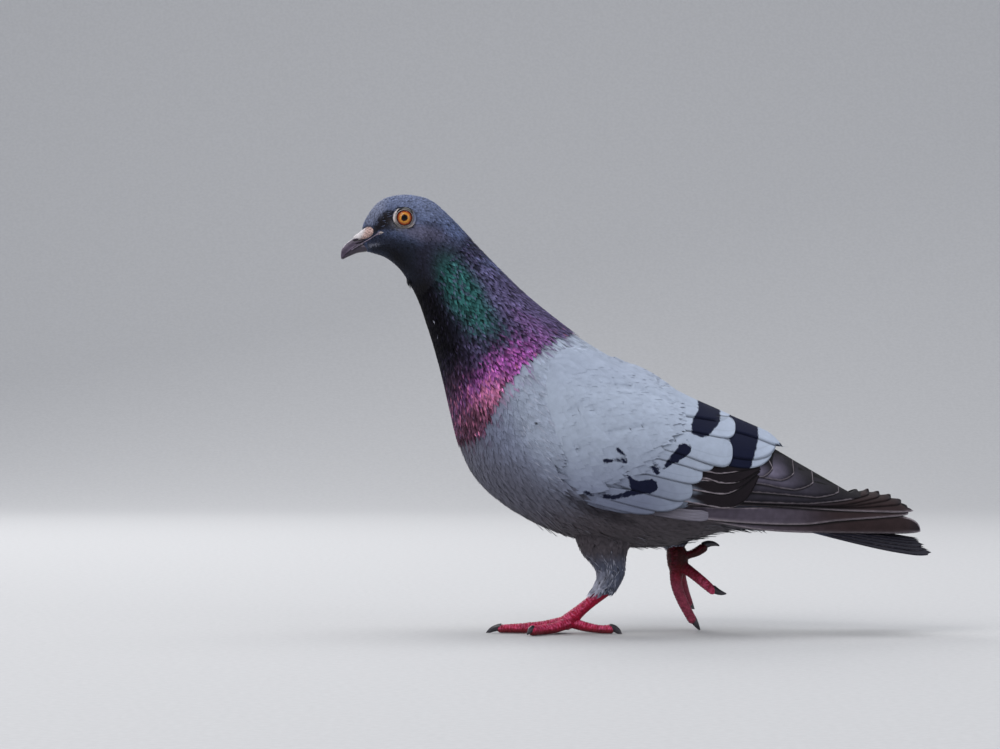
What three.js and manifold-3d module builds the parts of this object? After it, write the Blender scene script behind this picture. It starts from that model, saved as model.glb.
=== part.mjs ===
// A rock pigeon in mid stride, life size, in millimetres. The bill points along -X, the bird's left side
// is -Y and +Z is up, with the soles on Z = 0. Each solid reaches out to the tips of the plumage.
import * as THREE from "three";
import { ParametricGeometry } from "three/addons/geometries/ParametricGeometry.js";
import { mergeVertices } from "three/addons/utils/BufferGeometryUtils.js";
import Module from "manifold-3d";

const wasm = await Module();
wasm.setup();

// ---------------------------------------------------------------- driving dimensions
const GAP = 0.3; // clear space between neighbouring solids
const LEFT = -1; // side signs along Y
const RIGHT = 1;

// Head, neck and trunk as one loft. Each row is one section: the point on the throat and belly line (x, z),
// the point on the crown and back line (x, z), and the half width.
const BODY = [
  [-129.6, 183.0, -130.6, 194.0, 3.4],
  [-124.8, 181.2, -127.7, 202.0, 7.2],
  [-120.0, 179.4, -122.4, 207.4, 9.8],
  [-116.0, 176.6, -115.2, 209.8, 11.6],
  [-112.6, 173.2, -106.6, 209.8, 12.4],
  [-109.9, 169.2, -97.6, 206.9, 12.8],
  [-107.2, 164.4, -87.8, 198.2, 13.6],
  [-104.4, 158.4, -77.0, 186.8, 15.6],
  [-101.4, 149.4, -65.0, 174.4, 19.0],
  [-97.6, 137.6, -51.6, 161.4, 24.6],
  [-93.2, 121.4, -36.8, 149.4, 31.4],
  [-89.4, 105.0, -24.0, 140.0, 37.6],
  [-85.0, 88.0, -10.6, 132.0, 42.4],
  [-77.6, 73.4, 3.0, 124.6, 44.6],
  [-64.0, 60.8, 15.6, 116.6, 45.0],
  [-44.4, 49.8, 26.6, 108.6, 43.4],
  [-22.6, 42.6, 37.0, 100.6, 39.6],
  [-0.8, 40.2, 47.2, 92.0, 34.2],
  [16.6, 41.2, 56.6, 83.6, 28.0],
  [31.0, 45.4, 65.0, 75.6, 21.6],
  [45.4, 48.8, 72.6, 68.6, 16.6],
  [60.6, 48.4, 80.0, 61.2, 11.6],
];
const HEAD_END = 6.5; // row numbers at which the loft is parted
const NECK_END = 11.5;

// The folded wing wraps the body. Each row is one upright section: x, the height of its upper edge, of its
// widest point and of its lower edge, the half width there, the angle from the top at which it starts and
// the angle at which it ends, in degrees, and its thickness.
const WING = [
  [-52.0, 124.0, 108.0, 92.0, 37.0, 52, 112, 2.0],
  [-46.0, 133.0, 106.0, 80.0, 42.0, 44, 120, 4.0],
  [-36.0, 139.0, 102.0, 70.0, 45.4, 34, 124, 5.0],
  [-24.0, 138.6, 98.0, 63.0, 47.4, 22, 126, 5.0],
  [-10.0, 133.6, 93.0, 58.6, 48.0, 12, 126, 5.0],
  [8.0, 124.6, 87.0, 56.6, 46.4, 9, 124, 4.6],
  [30.0, 111.4, 79.0, 54.0, 42.0, 8, 120, 4.0],
  [50.0, 103.6, 72.0, 51.6, 36.2, 7, 115, 3.4],
  [66.0, 95.6, 66.0, 50.0, 31.2, 7, 110, 3.0],
  [78.0, 83.4, 61.4, 48.6, 27.4, 7, 106, 2.6],
  [102.0, 70.6, 54.0, 48.2, 20.4, 8, 100, 2.0],
  [120.0, 66.8, 52.4, 48.6, 15.6, 10, 98, 1.6],
  [130.0, 61.6, 51.8, 49.0, 12.4, 12, 97, 1.4],
  [136.6, 54.6, 51.6, 49.6, 9.6, 16, 96, 1.2],
];
// Rear edges of the wing coverts and of the secondaries with the tertials, seen from the side (x, z).
const COVERT_EDGE = [
  [44.0, 112.0], [47.4, 97.0], [44.6, 92.6], [46.6, 85.0], [43.6, 79.0], [33.0, 73.0],
  [27.4, 67.0], [24.8, 62.4], [14.0, 58.6], [2.0, 52.0],
];
const FLIGHT_EDGE = [
  [71.0, 96.0], [69.0, 88.0], [66.4, 83.4], [57.6, 79.6], [58.0, 75.4], [54.6, 68.2],
  [50.6, 62.0], [45.0, 59.4], [31.0, 60.6], [22.0, 60.0],
];

const TAIL = {
  rootX: 58.0,
  tipX: 140.6,
  rootZ: 56.8,
  slope: -0.158, // fall along X
  rootHalfWidth: 15.0,
  tipHalfWidth: 26.0,
  droop: 6.0, // how far the outer feathers hang below the middle pair
  rootThickness: 4.4,
  tipThickness: 1.3,
};

// Upper and lower halves of the bill, in rows like BODY's.
const BILL_UPPER = [
  [-124.0, 189.0, -125.6, 194.4, 3.4],
  [-129.6, 187.2, -131.4, 192.4, 3.5],
  [-134.0, 185.4, -135.8, 189.2, 3.0],
  [-137.4, 183.4, -138.8, 186.8, 2.5],
  [-140.0, 181.0, -141.2, 183.8, 1.8],
  [-141.4, 179.0, -141.7, 180.6, 0.8],
];
const BILL_LOWER = [
  [-125.0, 183.2, -124.0, 188.5, 3.8],
  [-129.6, 182.6, -129.6, 186.7, 3.3],
  [-133.6, 182.0, -134.0, 184.9, 2.6],
  [-136.8, 180.7, -137.3, 182.9, 1.9],
  [-139.6, 179.5, -139.8, 180.6, 1.0],
];
const CERE = { x: -130.6, z: 191.6, length: 10.6, height: 6.2, lobeWidth: 4.4, lobeY: 2.0, pitch: 0.52 };

const EYE = { x: -111.1, y: 7.6, z: 198.7, radius: 5.6 };

// Feathered thigh: rows like BODY's, with the front outline first and the back outline second.
const THIGH_LEFT = [
  [-34.0, 58.0, 6.0, 56.0, 10.0],
  [-30.0, 46.0, -1.0, 44.6, 9.6],
  [-27.0, 38.4, -4.0, 38.6, 8.8],
  [-22.6, 33.6, -4.8, 33.0, 7.8],
  [-19.8, 29.0, -5.2, 28.4, 6.8],
  [-20.6, 24.4, -7.4, 23.6, 5.6],
  [-22.6, 20.4, -11.0, 18.6, 4.0],
];
const THIGH_RIGHT = [
  [4.0, 56.0, 36.0, 58.0, 9.0],
  [8.6, 47.0, 29.0, 50.0, 8.0],
  [12.6, 41.0, 26.0, 42.6, 6.0],
  [14.8, 38.2, 23.6, 39.0, 4.2],
];

// Bare shanks, from ankle to toe base: x, y, z and half thickness.
const SHANK_LEFT = [
  [-12.0, -9.6, 22.6, 3.1],
  [-18.6, -9.4, 17.6, 2.8],
  [-25.6, -9.2, 12.0, 2.8],
  [-33.4, -9.0, 5.2, 3.8],
];
const SHANK_RIGHT = [
  [18.0, 14.4, 50.0, 3.2],
  [19.0, 14.0, 42.0, 3.6],
  [20.0, 13.6, 36.0, 4.2],
  [21.2, 13.2, 30.4, 4.4],
];

// Toes, from base to claw root: x, y, z and half thickness. Digit 1 points back; 2 is the inner front toe.
const TOES = {
  toe_left_1: [[-32.0, -9.0, 5.4, 2.7], [-25.0, -9.4, 3.2, 2.4], [-18.0, -10.4, 2.0, 2.2], [-12.4, -11.2, 1.75, 2.0]],
  toe_left_2: [[-33.4, -8.0, 4.8, 2.7], [-39.6, -2.6, 2.9, 2.5], [-46.0, 2.2, 2.05, 2.3], [-50.6, 5.4, 1.75, 2.0]],
  toe_left_3: [[-34.0, -9.0, 5.2, 3.1], [-44.0, -7.8, 3.2, 2.7], [-54.0, -6.8, 2.2, 2.5], [-64.6, -5.8, 1.8, 2.1]],
  toe_left_4: [[-33.4, -10.4, 4.8, 2.8], [-38.8, -16.0, 2.9, 2.5], [-44.8, -20.2, 2.1, 2.4], [-50.4, -23.4, 1.8, 2.1]],
  toe_right_1: [[21.4, 13.4, 33.6, 2.6], [26.0, 14.0, 37.0, 2.2], [30.2, 14.8, 39.6, 2.0], [33.8, 15.2, 41.2, 1.9]],
  toe_right_2: [[21.4, 12.6, 31.4, 2.8], [27.4, 9.6, 27.6, 2.6], [32.6, 7.0, 23.4, 2.4], [37.0, 5.2, 19.8, 2.1]],
  toe_right_3: [[20.8, 13.2, 30.4, 3.4], [21.8, 13.4, 21.4, 3.0], [24.4, 13.6, 13.4, 2.7], [28.2, 13.8, 5.2, 2.2]],
  toe_right_4: [[21.2, 14.0, 30.4, 2.8], [22.8, 19.0, 23.8, 2.5], [24.6, 23.0, 17.6, 2.3], [26.6, 25.6, 12.6, 2.0]],
};
// How far each claw curves on: its length, and its turn downwards in degrees. The soles of the lifted foot's
// front toes face back and up, so their claws turn upwards.
const CLAWS = {
  left: { 1: [6.4, 62], 2: [6.2, 48], 3: [7.6, 44], 4: [5.8, 50] },
  right: { 1: [6.8, 66], 2: [6.2, -34], 3: [6.6, -8], 4: [5.8, -30] },
};
const CLAW_RADIUS = 1.45;

// ---------------------------------------------------------------- solids
// A geometry as one closed surface: shared points merged, collapsed faces dropped, faces turned outwards.
function closed(geometry) {
  const bare = new THREE.BufferGeometry().setAttribute("position", geometry.getAttribute("position"));
  bare.setIndex(geometry.index);
  const merged = mergeVertices(bare, 1e-4);
  const p = merged.attributes.position;
  const corners = [new THREE.Vector3(), new THREE.Vector3(), new THREE.Vector3()];
  const kept = [];
  let volume = 0;
  for (let i = 0; i < merged.index.count; i += 3) {
    const abc = [0, 1, 2].map((k) => merged.index.getX(i + k));
    if (abc[0] === abc[1] || abc[1] === abc[2] || abc[2] === abc[0]) continue;
    abc.forEach((n, k) => corners[k].fromBufferAttribute(p, n));
    volume += corners[0].dot(corners[1].clone().cross(corners[2])) / 6;
    kept.push(abc);
  }
  return { vertices: p.array, faces: kept.map(([a, b, c]) => (volume < 0 ? [a, c, b] : [a, b, c])) };
}

function solidOf(geometry) {
  const { vertices, faces } = closed(geometry);
  const mesh = { numProp: 3, vertProperties: new Float32Array(vertices), triVerts: new Uint32Array(faces.flat()) };
  return new wasm.Manifold(new wasm.Mesh(mesh));
}

function geometryOf(solid) {
  const { numProp, numVert, vertProperties, triVerts } = solid.getMesh();
  const positions = new Float32Array(numVert * 3);
  for (let i = 0; i < numVert; i++) {
    positions.set(vertProperties.subarray(i * numProp, i * numProp + 3), i * 3);
  }
  const geometry = new THREE.BufferGeometry().setAttribute("position", new THREE.BufferAttribute(positions, 3));
  geometry.setIndex(new THREE.BufferAttribute(new Uint32Array(triVerts), 1));
  geometry.computeVertexNormals();
  return geometry;
}

// Rows of numbers read as one smooth run: a Catmull-Rom value at row number t.
function between(rows, t) {
  const last = rows.length - 1;
  const i = Math.min(Math.floor(t), last - 1);
  const f = t - i;
  const row = (k) => rows[Math.min(Math.max(k, 0), last)];
  return rows[0].map((_, c) => {
    const [a, b, d, e] = [row(i - 1)[c], row(i)[c], row(i + 1)[c], row(i + 2)[c]];
    return b + 0.5 * f * (d - a + f * (2 * a - 5 * b + 4 * d - e + f * (3 * (b - d) + e - a)));
  });
}

// A closed tube from ring(u, v): u runs round the section and v along it. Each end closes on cap(u, v), or on
// the middle of its section where no cap is given.
function tube(ring, around, along, cap) {
  const step = 1 / (along + 2);
  const middle = (v) => {
    const sum = new THREE.Vector3();
    for (let k = 0; k < around; k++) sum.addScaledVector(ring(k / around, v), 1 / around);
    return sum;
  };
  const surface = (u, v, target) => {
    const inner = THREE.MathUtils.clamp((v - step) / (1 - 2 * step), 0, 1);
    const end = v < step / 2 || v > 1 - step / 2;
    target.copy(end ? (cap ?? ((_, at) => middle(at)))(u % 1, inner) : ring(u % 1, inner));
  };
  return solidOf(new ParametricGeometry(surface, around, along + 2));
}

// A loft through rows of front or belly point, back point and half width, grown outwards by grow.
function loft(rows, y, grow, around, along) {
  return tube((u, v) => {
    const [ax, az, bx, bz, half] = between(rows, v * (rows.length - 1));
    const angle = 2 * Math.PI * u;
    const reach = 1 + (2 * grow) / Math.hypot(bx - ax, bz - az);
    const lean = Math.cos(angle) * reach;
    return new THREE.Vector3(
      (ax + bx) / 2 + ((bx - ax) / 2) * lean,
      y + (half + grow) * Math.sin(angle),
      (az + bz) / 2 + ((bz - az) / 2) * lean,
    );
  }, around, along);
}

// A limb of round section through rows of x, y, z and half thickness, flattened where it meets the floor.
function limb(rows, grow, around, along) {
  return tube((u, v) => {
    const t = v * (rows.length - 1);
    const [x, y, z, half] = between(rows, t);
    const ahead = between(rows, Math.min(t + 0.01, rows.length - 1));
    const behind = between(rows, Math.max(t - 0.01, 0));
    const run = new THREE.Vector3(ahead[0] - behind[0], ahead[1] - behind[1], ahead[2] - behind[2]).normalize();
    const side = new THREE.Vector3(-run.y, run.x, 0);
    if (side.length() < 0.2) side.set(0, 1, 0);
    side.normalize();
    const up = new THREE.Vector3().crossVectors(run, side);
    const angle = 2 * Math.PI * (u + 0.5 / around);
    const point = new THREE.Vector3(x, y, z);
    point.addScaledVector(side, (half + grow) * Math.cos(angle));
    point.addScaledVector(up, (half + grow) * Math.sin(angle));
    point.z = Math.max(point.z, -grow);
    return point;
  }, around, along);
}

// The folded wing as a thin shell: out over the back edge to the lower edge, and back underneath. Its front
// and rear ends close to a seam.
const WING_AROUND = 24;
function wing(side, grow) {
  const place = (share, v, depth) => {
    const [x, top, wide, low, half, from, to, thick] = between(WING, v * (WING.length - 1));
    const spread = THREE.MathUtils.radToDeg(grow / half);
    const angle = THREE.MathUtils.degToRad(THREE.MathUtils.lerp(from - spread, to + spread, share));
    const upper = (top - wide) / Math.cos(THREE.MathUtils.degToRad(from));
    const lower = (wide - low) / -Math.cos(THREE.MathUtils.degToRad(to));
    const edge = Math.min(1, 5 * Math.min(share, 1 - share) + 0.35);
    const inset = THREE.MathUtils.lerp(-grow, thick * edge + grow, depth);
    const reach = (Math.cos(angle) > 0 ? upper : lower) - inset;
    const along = x + grow * (2 * v - 1);
    return new THREE.Vector3(along, side * (half - inset) * Math.sin(angle), wide + reach * Math.cos(angle));
  };
  const row = (u) => Math.round(u * WING_AROUND);
  const shareOf = (u) => Math.min(row(u), WING_AROUND - 1 - row(u)) / (WING_AROUND / 2 - 1);
  const ring = (u, v) => place(shareOf(u), v, row(u) < WING_AROUND / 2 ? 0 : 1);
  return tube(ring, WING_AROUND, 13, (u, v) => place(shareOf(u), v, 0.5));
}

// Everything ahead of a rear edge drawn in the side view, through the whole width of the bird.
function aheadOf(edge, gap) {
  const front = -70;
  const moved = edge.map(([x, z]) => new THREE.Vector2(x - gap, z + gap));
  const shape = new THREE.Shape([
    new THREE.Vector2(front, 180),
    new THREE.Vector2(moved[0].x, 180),
    ...new THREE.SplineCurve(moved).getPoints(12),
    new THREE.Vector2(moved.at(-1).x, 0),
    new THREE.Vector2(front, 0),
  ]);
  const block = new THREE.ExtrudeGeometry(shape, { depth: 160, bevelEnabled: false });
  block.rotateX(Math.PI / 2);
  block.translate(0, 80, 0);
  return solidOf(block);
}

// The closed tail: a slightly fanned plate, its outer feathers drooping.
function tail(grow) {
  const place = (u, v, depth) => {
    const across = Math.cos(2 * Math.PI * u);
    const half = THREE.MathUtils.lerp(TAIL.rootHalfWidth, TAIL.tipHalfWidth, Math.sqrt(v)) + grow;
    const x = THREE.MathUtils.lerp(TAIL.rootX, TAIL.tipX - 5 * across * across, v);
    const thick = THREE.MathUtils.lerp(TAIL.rootThickness, TAIL.tipThickness, v) + 2 * grow;
    const rise = Math.sign(Math.sin(2 * Math.PI * u)) * Math.sqrt(Math.abs(Math.sin(2 * Math.PI * u)));
    const middle = TAIL.rootZ + TAIL.slope * (x - TAIL.rootX) - TAIL.droop * across * across * Math.sqrt(v);
    return new THREE.Vector3(x, across * half, middle + (rise * thick * depth) / 2);
  };
  return tube((u, v) => place(u, v, 1), 20, 6, (u, v) => place(u, v, 0));
}

// A claw: a cone that curves on from the end of its toe towards the sole.
function claw(rows, [length, turn], grow) {
  const [x0, y0, z0] = rows.at(-2);
  const [x, y, z, half] = rows.at(-1);
  const run = new THREE.Vector3(x - x0, y - y0, z - z0).normalize();
  const side = new THREE.Vector3(-run.y, run.x, 0).normalize();
  const start = new THREE.Vector3(x, y, z).addScaledVector(new THREE.Vector3(0, 0, 1), half * 0.25);
  const bend = THREE.MathUtils.degToRad(turn);
  return tube((u, v) => {
    const centre = start.clone();
    const heading = run.clone();
    const steps = 8;
    for (let k = 0; k < steps; k++) {
      heading.copy(run).applyAxisAngle(side, bend * ((v * (k + 0.5)) / steps));
      centre.addScaledVector(heading, (length * v) / steps);
    }
    heading.copy(run).applyAxisAngle(side, bend * v);
    const up = new THREE.Vector3().crossVectors(heading, side);
    const reach = CLAW_RADIUS * (1 - 0.86 * v) + grow;
    const angle = 2 * Math.PI * u;
    centre.addScaledVector(side, reach * 0.8 * Math.cos(angle)).addScaledVector(up, reach * Math.sin(angle));
    centre.z = Math.max(centre.z, -grow);
    return centre;
  }, 6, 4);
}

// The cere: two smooth swellings side by side over the nostrils.
function cere() {
  const lobes = [LEFT, RIGHT].map((side) => {
    const lobe = new THREE.SphereGeometry(0.5, 12, 7);
    lobe.scale(CERE.length, 2 * CERE.lobeWidth * 0.75, CERE.height);
    lobe.rotateY(-CERE.pitch);
    lobe.translate(CERE.x, side * CERE.lobeY, CERE.z);
    return solidOf(lobe);
  });
  return lobes[0].add(lobes[1]);
}

function eye(side, grow) {
  const ball = new THREE.SphereGeometry(EYE.radius + grow, 14, 8);
  ball.translate(EYE.x, side * EYE.y, EYE.z);
  return solidOf(ball);
}

// ---------------------------------------------------------------- the bird
const bird = new THREE.Group();
const FINISH = {
  plumage_slate: { color: 0x565b6d, roughness: 0.75, metalness: 0 },
  plumage_neck: { color: 0x4a4560, roughness: 0.5, metalness: 0.2 },
  plumage_pale: { color: 0xa9b0c0, roughness: 0.8, metalness: 0 },
  plumage_dark: { color: 0x3f3a40, roughness: 0.7, metalness: 0 },
  horn: { color: 0x3a3540, roughness: 0.45, metalness: 0 },
  cere: { color: 0xc9b4b0, roughness: 0.7, metalness: 0 },
  eye: { color: 0xc8641e, roughness: 0.1, metalness: 0 },
  skin_red: { color: 0x9c2f48, roughness: 0.6, metalness: 0 },
  claw: { color: 0x26252a, roughness: 0.4, metalness: 0 },
};
const materials = Object.fromEntries(
  Object.entries(FINISH).map(([name, look]) => [name, new THREE.MeshStandardMaterial({ name, ...look })]),
);

function place(name, solid, material) {
  const mesh = new THREE.Mesh(geometryOf(solid), materials[material]);
  mesh.name = name;
  bird.add(mesh);
}

// The main body of a solid, without the crumbs that a cut can leave.
function biggest(solid) {
  return solid.decompose().reduce((a, b) => (b.volume() > a.volume() ? b : a));
}

// The plane of the loft's section at row t: its normal, which points tailwards, and its offset.
function sectionPlane(t) {
  const [ax, az, bx, bz] = between(BODY, t);
  const normal = new THREE.Vector3(bz - az, 0, ax - bx).normalize();
  return { normal, offset: normal.dot(new THREE.Vector3(ax, 0, az)) };
}
function cutBehind(solid, { normal, offset }) {
  return solid.trimByPlane([-normal.x, 0, -normal.z], -(offset - GAP / 2));
}
function cutAhead(solid, { normal, offset }) {
  return solid.trimByPlane([normal.x, 0, normal.z], offset + GAP / 2);
}

const BODY_AROUND = 20;
const BODY_ALONG = 32;
const body = loft(BODY, 0, 0, BODY_AROUND, BODY_ALONG);
const bodyRoom = loft(BODY, 0, GAP, BODY_AROUND, BODY_ALONG);
const headEnd = sectionPlane(HEAD_END);
const neckEnd = sectionPlane(NECK_END);

let head = cutBehind(body, headEnd);
const neckWhole = cutBehind(cutAhead(body, headEnd), neckEnd);
let trunk = cutAhead(body, neckEnd);
const tailRoom = tail(GAP);
let neck = neckWhole;

for (const [word, side] of [["left", LEFT], ["right", RIGHT]]) {
  place(`eye_${word}`, eye(side, 0), "eye");
  head = head.subtract(eye(side, GAP));

  const whole = wing(side, 0);
  const room = wing(side, 2 * GAP);
  trunk = trunk.subtract(room);
  neck = neck.subtract(room);
  const coverts = whole.intersect(aheadOf(COVERT_EDGE, GAP));
  const flight = whole.subtract(aheadOf(COVERT_EDGE, 0));
  place(`wing_${word}_coverts`, coverts, "plumage_pale");
  place(`wing_${word}_secondaries`, flight.intersect(aheadOf(FLIGHT_EDGE, GAP)), "plumage_dark");
  place(`wing_${word}_primaries`, flight.subtract(aheadOf(FLIGHT_EDGE, 0)).subtract(tailRoom), "plumage_dark");
}
place("tail", tail(0).subtract(bodyRoom), "plumage_dark");

place("head", head, "plumage_slate");
place("neck", neck, "plumage_neck");
place("trunk", trunk, "plumage_slate");

const upper = loft(BILL_UPPER, 0, 0, 12, 9);
place("bill_upper", upper.subtract(bodyRoom), "horn");
place("bill_lower", loft(BILL_LOWER, 0, 0, 12, 7).subtract(bodyRoom), "horn");
place("cere", cere().subtract(bodyRoom).subtract(loft(BILL_UPPER, 0, GAP, 12, 9)), "cere");

const LEGS = [
  ["left", THIGH_LEFT, SHANK_LEFT, -10.5],
  ["right", THIGH_RIGHT, SHANK_RIGHT, 14.4],
];
for (const [word, thigh, shank, thighY] of LEGS) {
  place(`thigh_${word}`, loft(thigh, thighY, 0, 12, 8).subtract(bodyRoom), "plumage_slate");
  const thighRoom = loft(thigh, thighY, GAP, 12, 8);
  place(`shank_${word}`, limb(shank, 0, 8, 4).subtract(bodyRoom).subtract(thighRoom), "skin_red");
  const shankRoom = limb(shank, GAP, 8, 4);
  let taken = shankRoom;
  for (const digit of [3, 1, 2, 4]) {
    const name = `toe_${word}_${digit}`;
    place(name, biggest(limb(TOES[name], 0, 8, 5).subtract(taken)), "skin_red");
    const room = limb(TOES[name], GAP, 8, 5);
    taken = taken.add(room);
    const spare = limb(TOES[name], 2 * GAP, 8, 5);
    place(`claw_${word}_${digit}`, claw(TOES[name], CLAWS[word][digit], 0).subtract(spare), "claw");
  }
}

// The origin is on the floor under the middle of the bird.
const box = new THREE.Box3().setFromObject(bird);
bird.position.set(-(box.min.x + box.max.x) / 2, -(box.min.y + box.max.y) / 2, -box.min.z);

export default bird;
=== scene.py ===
"""A rock pigeon in mid stride: skin, plumage, bill, eyes and feet, built around its fixed frame."""

import math

import bmesh
import bpy
import numpy as np
from bpy.props import FloatProperty, FloatVectorProperty, IntProperty, PointerProperty
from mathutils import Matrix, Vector


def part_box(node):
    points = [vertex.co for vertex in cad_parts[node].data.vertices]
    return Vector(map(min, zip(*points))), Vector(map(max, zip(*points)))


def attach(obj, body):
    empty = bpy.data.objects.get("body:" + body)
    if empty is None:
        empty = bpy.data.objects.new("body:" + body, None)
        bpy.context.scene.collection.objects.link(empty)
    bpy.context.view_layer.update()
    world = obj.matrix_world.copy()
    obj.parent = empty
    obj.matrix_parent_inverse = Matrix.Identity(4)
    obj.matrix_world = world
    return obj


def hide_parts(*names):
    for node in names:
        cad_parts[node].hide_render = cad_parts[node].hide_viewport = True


bl_info = {
    "name": "Rock pigeon",
    "version": (1, 0, 0),
    "blender": (4, 5, 0),
    "location": "3D View > Sidebar > Pigeon",
    "description": "Builds a walking rock pigeon over its frame, feather by feather",
    "category": "Add Mesh",
}

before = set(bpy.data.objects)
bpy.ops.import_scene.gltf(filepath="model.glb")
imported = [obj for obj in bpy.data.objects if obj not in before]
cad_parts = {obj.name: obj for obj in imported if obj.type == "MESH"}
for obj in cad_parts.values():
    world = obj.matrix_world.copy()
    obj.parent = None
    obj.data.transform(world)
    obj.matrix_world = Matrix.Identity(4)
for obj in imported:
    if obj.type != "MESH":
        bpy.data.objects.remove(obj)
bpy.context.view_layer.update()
MM = 0.001
TAU = 2 * math.pi
LEFT, RIGHT = -1, 1
NAME = {LEFT: "left", RIGHT: "right"}

# -------------------- driving shape, in millimetres
# The bird's own axes: bill along -X, left side -Y, soles at Z = 0. EYE_X places them in the frame.
EYE_X, EYE_Y, EYE_Z, EYE_RADIUS = -111.1, 7.6, 198.7, 5.6

# Head, neck and trunk: throat and belly point (x, z), crown and back point (x, z), half width.
BODY = np.array([
    [-131.0, 182.8, -131.4, 194.8, 3.3],
    [-124.8, 181.2, -127.7, 202.0, 7.2],
    [-120.0, 179.4, -122.4, 207.4, 9.8],
    [-116.0, 176.6, -115.2, 209.8, 11.6],
    [-112.6, 173.2, -106.6, 209.8, 12.4],
    [-109.9, 169.2, -97.6, 206.9, 12.8],
    [-107.2, 164.4, -87.8, 198.2, 13.6],
    [-104.4, 158.4, -77.0, 186.8, 15.6],
    [-101.4, 149.4, -65.0, 174.4, 19.0],
    [-97.6, 137.6, -51.6, 161.4, 24.6],
    [-93.2, 121.4, -36.8, 149.4, 31.4],
    [-89.4, 105.0, -24.0, 140.0, 37.6],
    [-85.0, 88.0, -10.6, 132.0, 42.4],
    [-77.6, 73.4, 3.0, 124.6, 44.6],
    [-64.0, 60.8, 15.6, 116.6, 45.0],
    [-44.4, 49.8, 26.6, 108.6, 43.4],
    [-22.6, 42.6, 37.0, 100.6, 39.6],
    [-0.8, 40.2, 47.2, 92.0, 34.2],
    [16.6, 41.2, 56.6, 83.6, 28.0],
    [31.0, 45.4, 65.0, 75.6, 21.6],
    [45.4, 48.8, 72.6, 68.6, 16.6],
    [60.6, 48.4, 80.0, 61.2, 11.6],
])
BODY_LAST = len(BODY) - 1

# The folded wing: x, heights of its upper edge, widest point and lower edge, half width, first and last
# angle from the top in degrees.
WING = np.array([
    [-52.0, 124.0, 108.0, 92.0, 37.0, 52, 112],
    [-46.0, 133.0, 106.0, 80.0, 42.0, 44, 120],
    [-36.0, 139.0, 102.0, 70.0, 45.4, 34, 124],
    [-24.0, 138.6, 98.0, 63.0, 47.4, 22, 126],
    [-10.0, 133.6, 93.0, 58.6, 48.0, 12, 126],
    [8.0, 124.6, 87.0, 56.6, 46.4, 9, 124],
    [30.0, 111.4, 79.0, 54.0, 42.0, 8, 120],
    [50.0, 103.6, 72.0, 51.6, 36.2, 7, 115],
    [66.0, 95.6, 66.0, 50.0, 31.2, 7, 110],
    [78.0, 83.4, 61.4, 48.6, 27.4, 7, 106],
    [102.0, 70.6, 54.0, 48.2, 20.4, 8, 100],
    [120.0, 66.8, 52.4, 48.6, 15.6, 10, 98],
    [130.0, 61.6, 51.8, 49.0, 12.4, 12, 97],
    [136.6, 54.6, 51.6, 49.6, 9.6, 16, 96],
])


def lift_into_frame(points):
    """Millimetres on the bird's own axes to metres in the frame, by the place of the left eye."""
    low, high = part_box("eye_left")
    shift = (low[0] + high[0]) / 2 / MM - EYE_X
    return (np.asarray(points, float) + np.array([shift, 0, 0])) * MM


# Marks and outlines of the wing are given as they look from the side, from SEEN_FAR away in front of this
# point, where the camera stands too.
SEEN_X, SEEN_Z, SEEN_FAR = -65.3, 123.6, 1800.0


def seen(points):
    """Where points of the near side look to be, as x and z: nearer ones stand further from the middle."""
    x, y, z = np.moveaxis(np.asarray(points, float), -1, 0)
    scale = SEEN_FAR / (SEEN_FAR - np.abs(y))
    return SEEN_X + (x - SEEN_X) * scale, SEEN_Z + (z - SEEN_Z) * scale


# -------------------- curves and surfaces
def unit(vectors, floor=0.0):
    """Each vector divided by its length, or by floor where it is shorter than that."""
    return vectors / np.maximum(np.linalg.norm(vectors, axis=-1, keepdims=True), floor)


def arc_length(points):
    """Distance along a line of points: the running sum of the gaps between them."""
    return np.concatenate([[0], np.cumsum(np.linalg.norm(np.diff(points, axis=0), axis=1))])


def tilted(x, z, turn):
    """A place in the side view on axes turned by an angle: how far it lies along them, and how far across."""
    return x * math.cos(turn) + z * math.sin(turn), z * math.cos(turn) - x * math.sin(turn)


def flow(rows, t):
    """Catmull-Rom run through the rows at row number t: cubic in the fraction between four neighbours."""
    rows = np.asarray(rows, float)
    t = np.clip(np.asarray(t, float), 0, len(rows) - 1)
    i = np.minimum(t.astype(int), len(rows) - 2)
    f = (t - i)[..., None]
    pick = lambda k: rows[np.clip(i + k, 0, len(rows) - 1)]
    a, b, c, d = pick(-1), pick(0), pick(1), pick(2)
    return b + 0.5 * f * (c - a + f * (2 * a - 5 * b + 4 * c - d + f * (3 * (b - c) + d - a)))


def smooth(low, high, value):
    """0 below low, 1 above high, and 3s^2 - 2s^3 between."""
    s = np.clip((value - low) / (high - low), 0, 1)
    return s * s * (3 - 2 * s)


def between(ends, lean, depth=0.0):
    """Point (x, z) on the line between a section's two end points (x, z), each drawn in by depth: lean is -1
    at the first and 1 at the second."""
    ax, az, bx, bz = ends
    lean = lean * (1 - 2 * depth / np.hypot(bx - ax, bz - az))
    return (ax + bx) / 2 + (bx - ax) / 2 * lean, (az + bz) / 2 + (bz - az) / 2 * lean


def hill(value, middle, half):
    """A bell of height 1 at middle that falls to 1/e at half from it."""
    return np.exp(-(((value - middle) / half) ** 2))


def body_surface(t, a, depth=0.0):
    """Ellipse between the belly and back points of section t, at angle a from the back, sunk by depth."""
    *ends, half = np.moveaxis(flow(BODY, t), -1, 0)
    x, z = between(ends, np.cos(a), depth)
    return np.stack([x, (half - depth) * np.sin(a), z], -1)


WING_FINE = np.linspace(0, len(WING) - 1, 400)
WING_FINE_X = flow(WING, WING_FINE)[:, 0]


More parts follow.
